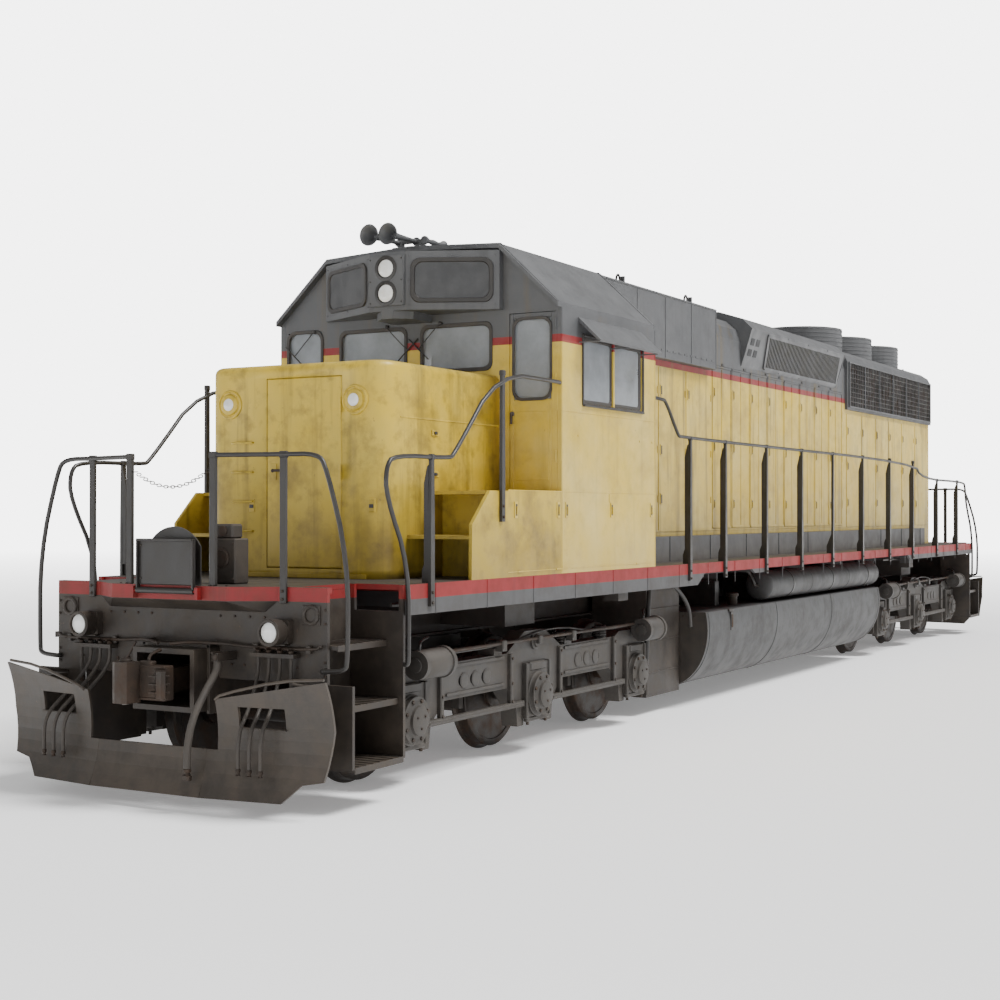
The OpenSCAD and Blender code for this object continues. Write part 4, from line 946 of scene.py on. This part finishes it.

# %% [markdown]
# ## Radiator grille
# The radiator cores sit behind a wire guard, which posts split into bays. The dark plate for the cores is partly
# their own colour and partly painted shade.
# A transparent pattern could stand for the wires. Real bars cast their shadows on the cores
# and keep their depth from any side.

# %% Radiator grille
def radiator_grille():
    low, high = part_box("radiator_section")
    x0, x1, y = low[0] * 1000, high[0] * 1000, high[1] * 1000
    bench = Bench("radiator_grille", BODY, roof_paint, shadow_mesh, bright_steel)
    for side in (LEFT, RIGHT):
        bench.turn = side
        # Dark plate for the cores: partly their own colour, partly painted shade behind the guard.
        bench.bar((x0 + 90, y - 2, 3760), (x1 - 70, y + 3, 4405), 1, 1)
        bays, wires = 6, 9
        wide = (x1 - 70 - x0 - 90) / bays
        for b in range(bays + 1):
            x = x0 + 90 + b * wide
            bench.bar((x - 14, y - 2, 3735), (x + 14, y + 26, 4425), 0, 4)
        for z in (3735, 4405):
            bench.bar((x0 + 60, y - 2, z), (x1 - 50, y + 24, z + 24), 0, 4)
        for b in range(bays):
            for k in range(1, wires):
                x = x0 + 90 + b * wide + k * wide / wires
                bench.bar((x - 4, y + 6, 3755), (x + 4, y + 20, 4410), 2, 1)
        for k in range(1, wires):
            z = 3755 + k * 72
            bench.bar((x0 + 90, y + 4, z - 4), (x1 - 70, y + 18, z + 4), 2, 1)
    bench.turn = LEFT
    for x in (-4400, -6000, -7600):
        for k in range(5):
            z = 4700 + k * 62
            bench.turned((x, 0, z), (x, 0, z + 14), [(0, 681), (3, 686), (11, 686), (14, 681)], 0, 48)
        for k in range(12):
            a = math.tau * k / 12
            bench.bar((x + 660 * math.cos(a) - 20, 660 * math.sin(a) - 20, 4640),
                (x + 660 * math.cos(a) + 20, 660 * math.sin(a) + 20, 4655), 0, 3)
        # Guard over each fan
        for radius in (160, 320, 480, 620):
            angles = [math.tau * k / 32 for k in range(33)]
            ring = [(x + radius * math.cos(a), radius * math.sin(a), 4978) for a in angles]
            bench.tube(ring, 5, 2, 6, 0)
        for k in range(4):
            a = math.pi * k / 4
            bench.rod((x - 655 * math.cos(a), -655 * math.sin(a), 4972),
                (x + 655 * math.cos(a), 655 * math.sin(a), 4972), 6, 2, 6)
    bench.done()

radiator_grille()

# %% [markdown]
# ## Hood doors
# Tall doors hide the engine. A folded edge stiffens each leaf, and latches and hinges line up along it.
# An Array modifier could repeat one door. A function is used, because one door of each side opens
# and has to be a piece of its own.

# %% Hardware of one hood door
def door_hardware(bench, x0, x1, z0, z1, y):
    edge = 26
    for low, high in (((x0 + 6, z0 + 6), (x1 - 6, z0 + edge)), ((x0 + 6, z1 - edge), (x1 - 6, z1 - 6)),
                      ((x0 + 6, z0 + 6), (x0 + edge, z1 - 6)), ((x1 - edge, z0 + 6), (x1 - 6, z1 - 6))):
        bench.bar((low[0], y - 2, low[1]), (high[0], y + 7, high[1]), 0, 3)
    for z in (z0 + 300, (z0 + z1) / 2, z1 - 330):
        bench.bar((x1 - 84, y - 1, z - 64), (x1 - 30, y + 10, z + 64), 0, 4)
        bench.bar((x1 - 72, y + 7, z - 50), (x1 - 44, y + 13, z + 50), 1, 3)
        bench.bar((x1 - 66, y + 11, z - 40), (x1 - 50, y + 21, z + 30), 0, 3)
        bench.rod((x0 + 12, y + 5, z - 45), (x0 + 12, y + 5, z + 45), 8, 0, 10)
    bench.bar(((x0 + x1) / 2 - 8, y - 2, z0 + 40), ((x0 + x1) / 2 + 8, y + 5, z1 - 40), 0, 2)

# %% [markdown]
# ## Hood sides and tail
# Eight engine doors stand in a row on each side, with locker doors before and behind them.
# The opening leaf rides on its own body, so its hardware swings with it.
# The tail gets doors, rungs and two lamps in the same way.

# %% Hood sides and tail
def hood_sides():
    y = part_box("hood_shell")[1][1] * 1000
    wide, sill, header = 650, 1953, 3937
    doors, opening_door = 8, 3
    for side_name, side in (("left", LEFT), ("right", RIGHT)):
        fixed = Bench("hood_door_hardware_" + side_name, BODY, hood_paint, rail_paint, shadow_mesh)
        fixed.turn = side
        for k in range(doors):
            x0 = 1450 - (k + 1) * wide
            if k == opening_door:
                moving = Bench("opening_door_hardware_" + side_name,
                    "engine_door_" + side_name, hood_paint, rail_paint)
                moving.turn = side
                door_hardware(moving, x0 + 4, x0 + wide - 4, sill, header, y)
                moving.done()
            else:
                door_hardware(fixed, x0 + 4, x0 + wide - 4, sill, header, y)
        lockers = [(1500, 2260, 3780), (2290, 3050, 3780), (3080, 3800, 3780), (3830, 4560, 3780)]
        lockers += [(-4700, -3960, 3640), (-5480, -4730, 3640), (-6240, -5510, 3640)]
        lockers += [(-7020, -6270, 3640), (-7800, -7050, 3640), (-8780, -7900, 3640)]
        for x0, x1, z1 in lockers:
            fixed.bar((x0, y - 4, 1930), (x1, y + 8, z1), 0, 5)
            for z in (2300, 2850, z1 - 260):
                fixed.bar((x1 - 84, y + 6, z - 62), (x1 - 30, y + 17, z + 62), 0, 4)
                fixed.bar((x1 - 72, y + 14, z - 48), (x1 - 44, y + 20, z + 48), 1, 3)
                fixed.rod((x0 + 10, y + 10, z - 40), (x0 + 10, y + 10, z + 40), 8, 0, 10)
        for x in (1060, 320, -480, -1010, -1930, -2700, -3230):
            fixed.bar((x, y - 1, 3945), (x + 70, y + 8, 3972), 1, 3)
        fixed.bar((-3890, y - 1, 1930), (4600, y + 6, 1944), 0, 2)
        duct = 1080
        for x in range(-7600, 4300, 1190):
            fixed.bar((x, duct - 2, 1604), (x + 14, duct + 6, 1884), 2, 2)
        fixed.done()
    tail = Bench("rear_hood_hardware", BODY, hood_paint, rail_paint, lens, roof_paint)
    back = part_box("hood_shell")[0][0] * 1000
    for y0, y1 in ((-800, -60), (60, 800)):
        tail.bar((back - 8, y0, 1700), (back + 2, y1, 3560), 0, 5)
        for z in (2000, 2600, 3200):
            edge, toward = (y1, 1) if y0 < 0 else (y0, -1)
            tail.bar((back - 18, 20 * toward + edge - 30, z), (back - 6, edge + 10, z + 70), 1, 4)
    for y in (-620, 620):
        for k in range(7):
            z = 1900 + k * 330
            tail.tube([(back, y - 150, z), (back - 55, y - 150, z), (back - 55, y + 150, z),
                (back, y + 150, z)], 10, 1)
    for z in (4030, 4250):
        tail.turned((back - 108, 0, z), (back - 122, 0, z), [(0, 116), (6, 116), (10, 104), (11, 90)], 3, 32)
        tail.turned((back - 72, 0, z), (back - 104, 0, z), [(0, 84), (8, 84), (20, 66), (28, 30)], 2, 28)
    tail.done()

hood_sides()

# %% [markdown]
# ## Handrails
# Bent pipe runs through forged posts. A bevelled curve could follow the route too.
# A tube on the bench joins pipe, posts, clamps and bolts into one piece, with softened bends.

# %% Side handrails
def side_handrails(side_name, side):
    bench = Bench("smooth_handrails_" + side_name, BODY, rail_paint, coupler_steel)
    bench.turn = side
    y, in_y, r = 1585, 1555, 18
    beside_engine_door = -1160
    bench.tube([(4617, in_y, 3310), (4587, in_y, 3310), (4480, y, 3300), (4390, y, 3290),
        (4080, y, 2960), (4000, y, 2930),
        (-5300, y, 2930), (-5750, y, 2680), (-8550, y, 2680), (-8680, y, 2600), (-8750, y, 2300), (-9215, y, 1760),
        (-9215, y, 1040), (-9215, 1575, 1000), (-9215, 1545, 1000)], r, 0, 12, 2)
    bench.tube([(6680, in_y, 3310), (6710, in_y, 3310), (6770, y, 3310), (7860, y, 3310),
        (8560, y, 2600), (8640, y, 2575),
        (9420, y, 2575), (9520, y, 2480), (9520, y, 2270), (9215, y, 1750), (9215, y, 1040), (9215, 1575, 1000),
        (9215, 1545, 1000)], r, 0, 12, 2)
    posts = [(x, 2930) for x in (3740, 2730, 1400, 110, beside_engine_door, -2530, -3910, -5220)]
    posts += [(-6720, 2680), (-8100, 2680), (8890, 2575)]
    for x, top in posts:
        bench.prism([(x - 28, 1425), (x + 28, 1425), (x + 28, 2000), (x + 20, top + 14), (x - 20, top + 14),
            (x - 28, 2000)], "y", 1570, 1597)
        bench.prism([(1571, 1604), (1500, 1604), (1500, 1700), (1571, 1880)], "x", x - 7, x + 7)
        if x != beside_engine_door:
            bench.prism([(1572, 1700), (1530, 1700), (1530, top - 200), (1560, top - 70),
                (1572, top - 60)], "x", x + 14, x + 26)
        bench.bar((x - 26, 1562, top - 24), (x + 26, 1606, top + 24), 0, 8)
        for z in (1450, 1530):
            bench.bolt((x, 1597, z), (0, 1, 0), 13, 1)
    bench.prism([(7752, 2070), (7808, 2070), (7802, 3326), (7758, 3326)], "y", 1570, 1597)
    bench.bar((7754, 1562, 3286), (7806, 1606, 3334), 0, 8)
    for z in (2110, 2200):
        bench.bolt((7780, 1597, z), (0, 1, 0), 13, 1)
    bench.done(("handrails_" + side_name,))

side_handrails("left", LEFT)
side_handrails("right", RIGHT)

# %% [markdown]
# ## End handrails, chain and porch stands
# Pipe rails guard the steps at each end, and a chain hangs between the two middle posts.
# A thin tube would read as rope, so the links are bent rings, turned in alternation along a sagging line.
# A domed plate and a small stand with dials stay low on the porch.

# %% End handrails, chain and porch stands
def end_rails():
    bench = Bench("smooth_end_handrails", BODY, rail_paint, coupler_steel, pilot_paint)
    for end in (FRONT, REAR):
        for side in (LEFT, RIGHT):
            bench.turn = end @ side
            x = 9913
            bench.tube([(10065, 380, 2575), (10065, 430, 2575), (x, 945, 2575), (x, 1250, 2575),
                (x, 1330, 2480), (x, 1520, 1810),
                (x, 1520, 1060), (9925, 1490, 1010), (9932, 1330, 1000), (9927, 1300, 1000),
                (9898, 1300, 1000)], 18, 0, 12, 2)
            bench.bar((9898, 917, 1480), (9928, 973, 2560), 0, 5)
            bench.bar((9890, 912, 2548), (9936, 978, 2600), 0, 8)
            bench.bar((10047, 382, 1602), (10083, 438, 2560), 0, 5)
            bench.bar((10042, 378, 2548), (10088, 442, 2600), 0, 8)
            for z in (1510, 1570):
                bench.bolt((9928, 945, z), (1, 0, 0), 12, 1)
            for y in (392, 428):
                bench.bolt((10090, y, 1602), (0, 0, 1), 10, 1)
        bench.turn = end
        links = 22
        for k in range(links):
            t = (k + 0.5) / links
            y, z = 372 - 744 * t, 2470 - 130 * (1 - (2 * t - 1) ** 2)
            flat = k % 2
            ring = []
            for s in range(9):
                a = math.tau * s / 8
                d, e = 23 * math.cos(a), 11 * math.sin(a)
                ring.append((10065 + (e if flat else 0), y + d, z + (0 if flat else e)))
            bench.tube(ring, 4, 1, 6, 0)
        dome = [(300 * math.sin(math.radians(a)), 1742 + 300 * math.cos(math.radians(a))) for a in range(-60, 61, 8)]
        bench.prism([(-260, 1602)] + dome + [(260, 1602)], "x", 10020, 10032, 0)
        bench.bar((9620, 130, 1602), (9790, 390, 1950), 2, 10)
        bench.bar((9640, 170, 1948), (9770, 350, 2060), 2, 14)
        bench.turned((9788, 260, 1800), (9812, 260, 1800), [(0, 78), (10, 78), (16, 60), (20, 60)], 1, 20)
        bench.turned((9768, 260, 2005), (9786, 260, 2005), [(0, 40), (10, 40), (14, 30)], 1, 16)
        for y in (150, 370):
            for z in (1640, 1910):
                bench.bolt((9790, y, z), (1, 0, 0), 9, 1)
    bench.done(("end_handrails",))

end_rails()

# %% [markdown]
# ## Fuel tank and air reservoirs
# The tank's sides are rolled in one smooth curve, and its ends are flat plates in the darker box brown, which is
# painted shade.
# The reservoirs are pressed cylinders with domed ends, held by straps. Subdivision could round both.
# An outline run along X and a lathe profile give the exact curves with fewer faces.

# %% Tank and reservoirs
def tank_and_reservoirs():
    low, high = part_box("fuel_tank")
    x0, x1 = low[0] * 1000, high[0] * 1000
    tank = Bench("rolled_fuel_tank", BODY, silver_paint, box_brown_and_painted_shade, coupler_steel, rail_paint)
    side = [(950 + 500 * math.cos(math.radians(a)), 840 - 640 * math.sin(math.radians(a))) for a in range(-18, 91, 6)]
    half = [(0, 1038), (1330, 1038)] + side
    outline = half + [(-y, z) for y, z in reversed(half[1:])]
    tank.prism(outline, "x", x0 + 8, x1 - 8, 0)
    # End plates in the darker box brown: painted shade on both ends of the tank.
    for near, far in ((x0, x0 + 12), (x1 - 12, x1)):
        tank.prism(outline, "x", near, far, 1)
    for x in (x0 + 60, x0 + 2300, x1 - 2300, x1 - 80):
        seam = [(y + (4 if y > 0 else -4 if y < 0 else 0), z - (3 if z < 500 else 0)) for y, z in outline]
        tank.prism(seam, "x", x, x + 18, 0)
    for turn in (LEFT, RIGHT):
        tank.turn = turn
        tank.turned((1400, 1150, 1030), (1400, 1150, 1190),
            [(0, 60), (110, 60), (112, 76), (146, 76), (156, 60)], 2, 24)
        tank.bar((2150, 1440, 800), (2230, 1456, 1010), 3, 4)
        tank.bar((2120, 1380, 1010), (2260, 1450, 1040), 3, 5)
        tank.bar((2170, 1452, 830), (2210, 1462, 980), 2, 3)
        for x in (-3280, 0, 1640):
            tank.bar((x - 60, 500, 1037), (x + 60, 1050, 1330), 3, 4)
        for k in range(9):
            tank.bolt((x1, 250 + k * 130, 990), (1, 0, 0), 10, 2)
    tank.done(("fuel_tank",))
    air = Bench("air_reservoirs_smooth", BODY, silver_paint, rail_paint)
    y, z = 1270, 1250
    for turn in (LEFT, RIGHT):
        air.turn = turn
        dome = [(60 * (1 - math.cos(math.radians(a))), 180 * math.sin(math.radians(a))) for a in range(8, 91, 10)]
        profile = dome + [(1500, 180), (1503, 183), (1516, 183), (1519, 180), (3100, 180), (3103, 183),
            (3116, 183), (3119, 180)]
        profile += [(4700 - d, r) for d, r in reversed(dome)]
        air.turned((-3850, y, z), (850, y, z), profile, 0, 40)
        for x in (-3280, -1640, 0):
            air.turned((x - 25, y, z), (x + 25, y, z), [(0, 180), (2, 186), (48, 186), (50, 180)], 1, 40)
            air.bar((x - 25, 1240, 1430), (x + 25, 1300, 1446), 1, 3)
        air.tube([(850, 1270, 1250), (960, 1270, 1250), (1010, 1270, 1320), (1010, 1200, 1440), (1300, 1200, 1460),
            (2700, 1200, 1460)], 20, 1)
        air.tube([(-3850, 1270, 1250), (-3950, 1270, 1230), (-4010, 1270, 1330), (-4010, 1270, 1500)], 20, 1)
    air.done(("air_reservoirs",))

tank_and_reservoirs()

# %% [markdown]
# ## Equipment boxes and sill pipes
# A brown box with pressed ribs closes the space behind the front truck, and air pipes run along the sill.
# The pipes could be separate curves. As tubes on one bench they stay together with their brackets.

# %% Equipment boxes and sill pipes
def sill_fittings():
    bench = Bench("sill_pipes_and_boxes", BODY, box_brown_and_painted_shade, rail_paint, coupler_steel, frame_paint)
    for turn in (LEFT, RIGHT):
        bench.turn = turn
        bench.bar((2975, 1117, 200), (3835, 1124, 1300), 0, 6)
        for z in (420, 760, 1100):
            bench.bar((2970, 1116, z), (3840, 1130, z + 16), 0, 3)
        bench.tube([(3900, 1190, 1440), (3960, 1200, 1200), (3990, 1200, 900), (3990, 1180, 480)], 26, 1)
        bench.tube([(4300, 1300, 1400), (3950, 1300, 1400), (3600, 1320, 1390), (3300, 1380, 1150),
            (3250, 1380, 900)], 22, 1)
        bench.tube([(9150, 1380, 1440), (5600, 1380, 1420), (4200, 1360, 1430)], 16, 1)
        bench.tube([(-9150, 1380, 1440), (-5600, 1380, 1420), (-4300, 1360, 1430)], 16, 1)
        for x in (4400, 7200, 8300, -4700, -6200, -8300):
            bench.bar((x - 20, 1350, 1420), (x + 20, 1410, 1560), 1, 4)
        for x in range(-8800, 9000, 800):
            bench.bar((x, 1568, 1366), (x + 10, 1574, 1600), 3, 2)
    bench.done()

sill_fittings()

# %% [markdown]
# ## Trucks
# A cast side frame holds three journal boxes. Bolted covers, coil springs, brake cylinders, rods and
# sand pipes are what catch the eye. They could be copied by hand from one side to the other.
# Loops with sine and cosine space the bolts and wind the springs, and all of it rides on its truck.

# %% Truck hardware
AXLES = (-2120, 0, 2120)
AXLE_UP = 508

def truck_hardware(name, centre):
    bench = Bench(name + "_hardware", name, truck_paint, coupler_steel, rail_paint, bright_steel)
    for side in (LEFT, RIGHT):
        bench.turn = Matrix.Translation((centre / 1000, 0, 0)) @ side
        for u in AXLES:
            bench.turned((u, 1284, AXLE_UP), (u, 1392, AXLE_UP),
                [(0, 205), (14, 205), (20, 194), (58, 186), (62, 150), (74, 120), (96, 116), (104, 96)], 0, 32)
            for k in range(8):
                a = math.tau * (k + 0.5) / 8
                bench.bolt((u + 160 * math.cos(a), 1345, AXLE_UP + 160 * math.sin(a)), (0, 1, 0), 17, 1)
            for k in range(3):
                a = math.tau * k / 3 + 0.5
                bench.bolt((u + 62 * math.cos(a), 1388, AXLE_UP + 62 * math.sin(a)), (0, 1, 0), 11, 1)
            bench.bar((u - 232, 1200, 300), (u - 196, 1300, 800), 0, 8)
            bench.bar((u + 196, 1200, 300), (u + 232, 1300, 800), 0, 8)
            bench.bar((u - 215, 1250, 268), (u + 215, 1292, 312), 0, 10)
            bench.bar((u - 150, 1240, 720), (u + 150, 1296, 800), 0, 14)
            for d in (-170, 170):
                bench.rod((u + d, 1270, 240), (u + d, 1270, 300), 14, 1)
        for u in (-1060, 1060):
            # Cast ribs round the lightening holes
            for k in (-1, 0, 1):
                bench.turned((u + k * 190, 1246, 740), (u + k * 190, 1262, 740),
                    [(0, 66), (10, 66), (14, 58), (15, 46)], 0, 24)
            bench.bar((u - 480, 1248, 630), (u + 480, 1266, 655), 0, 6)
            bench.bar((u - 480, 1248, 860), (u + 480, 1266, 890), 0, 6)
        for s in (-1, 1):
            for u in (s * 1060 - 420, s * 1060 + 420):
                climb = [(k * math.tau / 10, 905 + k * 2.6) for k in range(48)]
                turns = [(u + 62 * math.cos(a), 1180 + 62 * math.sin(a), z) for a, z in climb]
                bench.tube(turns, 13, 2, 6, 0)
        # Brake cylinders, levers and rods
        for x0, x1 in ((1750, 2200), (-2450, -2050)):
            bench.turned((x0, 1380, 950), (x1, 1380, 950),
                [(0, 96), (10, 116), (28, 118), (32, 130), (70, 130), (74, 118),
                (x1 - x0 - 60, 118), (x1 - x0 - 20, 100), (x1 - x0, 60), (x1 - x0 + 12, 56),
                (x1 - x0 + 16, 20)], 0, 28)
            for k in range(8):
                a = math.tau * k / 8
                bench.bolt((x0 + 70, 1380 + 112 * math.cos(a), 950 + 112 * math.sin(a)), (1, 0, 0), 10, 1)
            bench.tube([(x1 - 60, 1380, 1060), (x1 - 60, 1380, 1110), (x1 - 160, 1330, 1130),
                (x1 - 500, 1180, 1130)], 11, 2)
        bench.rod((-2040, 1300, 1010), (1760, 1300, 1010), 15, 1, 10)
        for u in (-670, 0, 670):
            bench.bar((u - 36, 1252, 960), (u + 36, 1326, 1036), 0, 8)
        for s in (-1, 1):
            bench.rod((s * 300, 1275, 445), (s * 1850, 1275, 445), 22, 0, 10)
            bench.bar((s * 470 - 26, 1240, 430), (s * 470 + 26, 1286, 900), 0, 8)
            bench.bar((s * 1640 - 26, 1240, 430), (s * 1640 + 26, 1286, 900), 0, 8)
            for z in (480, 640, 860):
                bench.bolt((s * 470, 1286, z), (0, 1, 0), 14, 1)
                bench.bolt((s * 1640, 1286, z), (0, 1, 0), 14, 1)
            bench.tube([(s * 2380, 1130, 900), (s * 2440, 1000, 800), (s * 2560 - s * 60, 800, 500),
                (s * 2600 - s * 80, 775, 160)], 15, 2)
        bench.turned((0, 1246, 985), (0, 1290, 985), [(0, 80), (20, 80), (26, 62), (44, 58)], 0, 24)
        bench.tube([(-2200, 1262, 1000), (-1300, 1262, 985), (-300, 1262, 1100), (500, 1262, 985),
            (1700, 1262, 985)], 9, 2)
    bench.done()

truck_hardware("front_truck", 6600)
truck_hardware("rear_truck", -6600)

# %% [markdown]
# ## Wheel faces
# A wheel's outer face shows a rim, a dished plate and a hub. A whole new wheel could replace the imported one.
# Its size is right already, so only thin turned rings are added, and they spin with their wheelset.

# %% Wheel faces
def wheel_faces():
    for name in [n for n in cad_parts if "wheelset" in n]:
        low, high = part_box(name)
        x = (low[0] + high[0]) * 500
        bench = Bench(name + "_wheel_faces", name, wheel_steel)
        for side in (LEFT, RIGHT):
            bench.turn = side
            bench.turned((x, 806, AXLE_UP), (x, 817, AXLE_UP),
                [(0, 505), (4, 503), (9, 496), (10, 448), (3, 440)], 0, 64)
            bench.turned((x, 768, AXLE_UP), (x, 836, AXLE_UP), [(0, 178), (40, 158), (66, 150), (68, 120)], 0, 36)
        bench.done()

wheel_faces()

# %% [markdown]
# ## Pilot
# The end plate carries uncoupling levers, towing rings, lamps, air cocks and the draft box, and steps with
# raised treads. Each is a bar, a turned shape or a tube. Both ends and both sides are alike,
# so everything is described once and turned into its four places.

# %% Pilot hardware
def pilot_hardware():
    bench = Bench("pilot_hardware", BODY, pilot_paint, coupler_steel, lens, bright_steel, plow_paint)
    for end in (FRONT, REAR):
        for side in (LEFT, RIGHT):
            bench.turn = end @ side
            # Towing ring at the upper corner
            angles = [math.tau * k / 16 for k in range(17)]
            ring = [(9912, 1190 + 62 * math.cos(a), 1400 + 62 * math.sin(a)) for a in angles]
            bench.tube(ring, 15, 0, 8, 0)
            bench.bar((9896, 1110, 1330), (9908, 1270, 1470), 0, 6)
            # Ditch lamp
            bench.turned((9960, 935, 1274), (10086, 935, 1274),
                [(0, 84), (20, 96), (104, 96), (112, 100), (122, 100), (126, 88), (110, 78)], 0, 32)
            bench.turned((10056, 935, 1274), (10084, 935, 1274), [(0, 78), (12, 78), (22, 60), (26, 28)], 2, 28)
            bench.bar((9898, 880, 1170), (9955, 990, 1186), 0, 4)
            # Uncoupling lever
            bench.tube([(9925, 1290, 1180), (9925, 1250, 1150), (9925, 620, 1150), (9960, 420, 1170),
                (10080, 200, 1180), (10140, 60, 1165)], 13, 1)
            for y in (1180, 700):
                bench.bar((9898, y - 20, 1120), (9934, y + 20, 1180), 0, 5)
            # Cocks above the jumpers
            for y in (735, 835, 935, 1035):
                bench.turned((9940, y, 1112), (9940, y, 1142), [(0, 20), (10, 22), (22, 22), (28, 12)], 1, 12)
                bench.bar((9930, y - 5, 1140), (9985, y + 5, 1152), 1, 2)
            # Step plates: lip and raised bars
            for z, y1 in ((310, 1550), (745, 1500), (1180, 1400)):
                bench.bar((9232, y1 - 6, z - 42), (9866, y1 + 2, z + 4), 0, 4)
                for k in range(7):
                    bench.bar((9250 + k * 88, 1070, z - 2), (9262 + k * 88, y1 - 16, z + 5), 3, 1)
            # Bolts along the plate
            for z in (960, 1060, 1340, 1440):
                bench.bolt((9898, 1310, z), (1, 0, 0), 11, 1)
            for y in (330, 450, 570, 690, 1060):
                bench.bolt((9898, y, 1010), (1, 0, 0), 12, 1)
            for y in (340, 480, 620, 760):
                bench.bolt((9899, y, 1370), (1, 0, 0), 10, 1)
            # Plow braces and top edge
            bench.tube([(9900, 1225, 880), (10060, 1225, 900), (10190, 1225, 930)], 14, 0)
            bench.tube([(10318, 640, 800), (10330, 700, 840), (10265, 1180, 955), (10215, 1530, 975)], 11, 4, 8, 1)
            for z in (592, 750):
                bench.bar((10190, 790, z), (10208, 1190, z + 8), 4, 2)
        bench.turn = end
        # Draft box face, chain and wear plate
        for y in (-330, 300):
            bench.bar((9898, y, 640), (10010, y + 30, 1180), 0, 5)
        bench.bar((9898, -330, 1128), (10010, 330, 1160), 0, 5)
        bench.tube([(9990, -420, 1150), (10010, -520, 980), (9990, -600, 1000)], 9, 1)
        bench.turned((10116, 470, 1080), (10140, 470, 1080), [(0, 26), (12, 26), (18, 16)], 1, 16)
        bench.bar((10060, 455, 1108), (10150, 475, 1122), 1, 3)
        for y in (-520, -260, 0, 260, 520):
            bench.bolt((10045, y, 1602), (0, 0, 1), 9, 1)
    bench.done()

pilot_hardware()

# %% [markdown]
# ## Coupler
# The coupler is a rough casting with a knuckle on a pin and a lifting loop. Sculpting could make it softer.
# Prisms with a few corners are enough for its heavy look. They ride on the coupler and swing with it.

# %% Coupler hardware
def coupler_hardware(body, end):
    bench = Bench(body + "_hardware", body, coupler_steel, bright_steel)
    bench.turn = end
    z, pin_x, pin_y = 890, 10390, -150
    bench.rod((pin_x, pin_y, z - 166), (pin_x, pin_y, z + 170), 26, 1, 16)
    bench.turned((pin_x, pin_y, z + 154), (pin_x, pin_y, z + 182), [(0, 48), (10, 48), (22, 36), (27, 12)], 0, 20)
    for dz in (-118, 118):
        bench.bar((10250, -200, z + dz - 10), (10350, 190, z + dz + 10), 0, 8)
    bench.bar((10280, -70, z + 112), (10340, 60, z + 160), 0, 12)
    bench.tube([(10300, 0, z + 150), (10300, 0, z + 190), (10250, 0, z + 215), (10200, 24, z + 234)], 13, 0)
    bench.prism([(10340, -180), (10430, -202), (10470, -190), (10484, -160), (10482, -110), (10462, -78),
        (10340, -66)], "z", z - 120, z + 125, 0)
    for dz in (-60, 0, 60):
        bench.bar((10336, 100, z + dz - 6), (10424, 236, z + dz + 6), 0, 3)
    bench.done()

coupler_hardware("front_coupler", FRONT)
coupler_hardware("rear_coupler", REAR)

# %% [markdown]
# ## Drop steps
# A hinged plate closes the gap between the end rails, and folds down as a bridge to the next engine.
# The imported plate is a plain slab. A thin sheet with folded edges and a round hinge bar looks lighter,
# so it replaces that slab.

# %% Drop steps
def drop_step_plate(body, end):
    bench = Bench(body + "_plate", body, rail_paint, pilot_paint)
    bench.turn = end
    bench.bar((10111, -278, 1606), (10123, 278, 1948), 0, 3)
    for y in (-280, 265):
        bench.bar((10110, y, 1576), (10148, y + 15, 1950), 0, 4)
    bench.bar((10110, -280, 1930), (10148, 280, 1951), 0, 4)
    bench.rod((10130, -280, 1560), (10130, 280, 1560), 23, 0, 20)
    for y in (-250, 250):
        for z in (1650, 1900):
            bench.bolt((10123, y, z), (1, 0, 0), 9, 1)
    bench.done((body,))

drop_step_plate("front_drop_step", FRONT)
drop_step_plate("rear_drop_step", REAR)
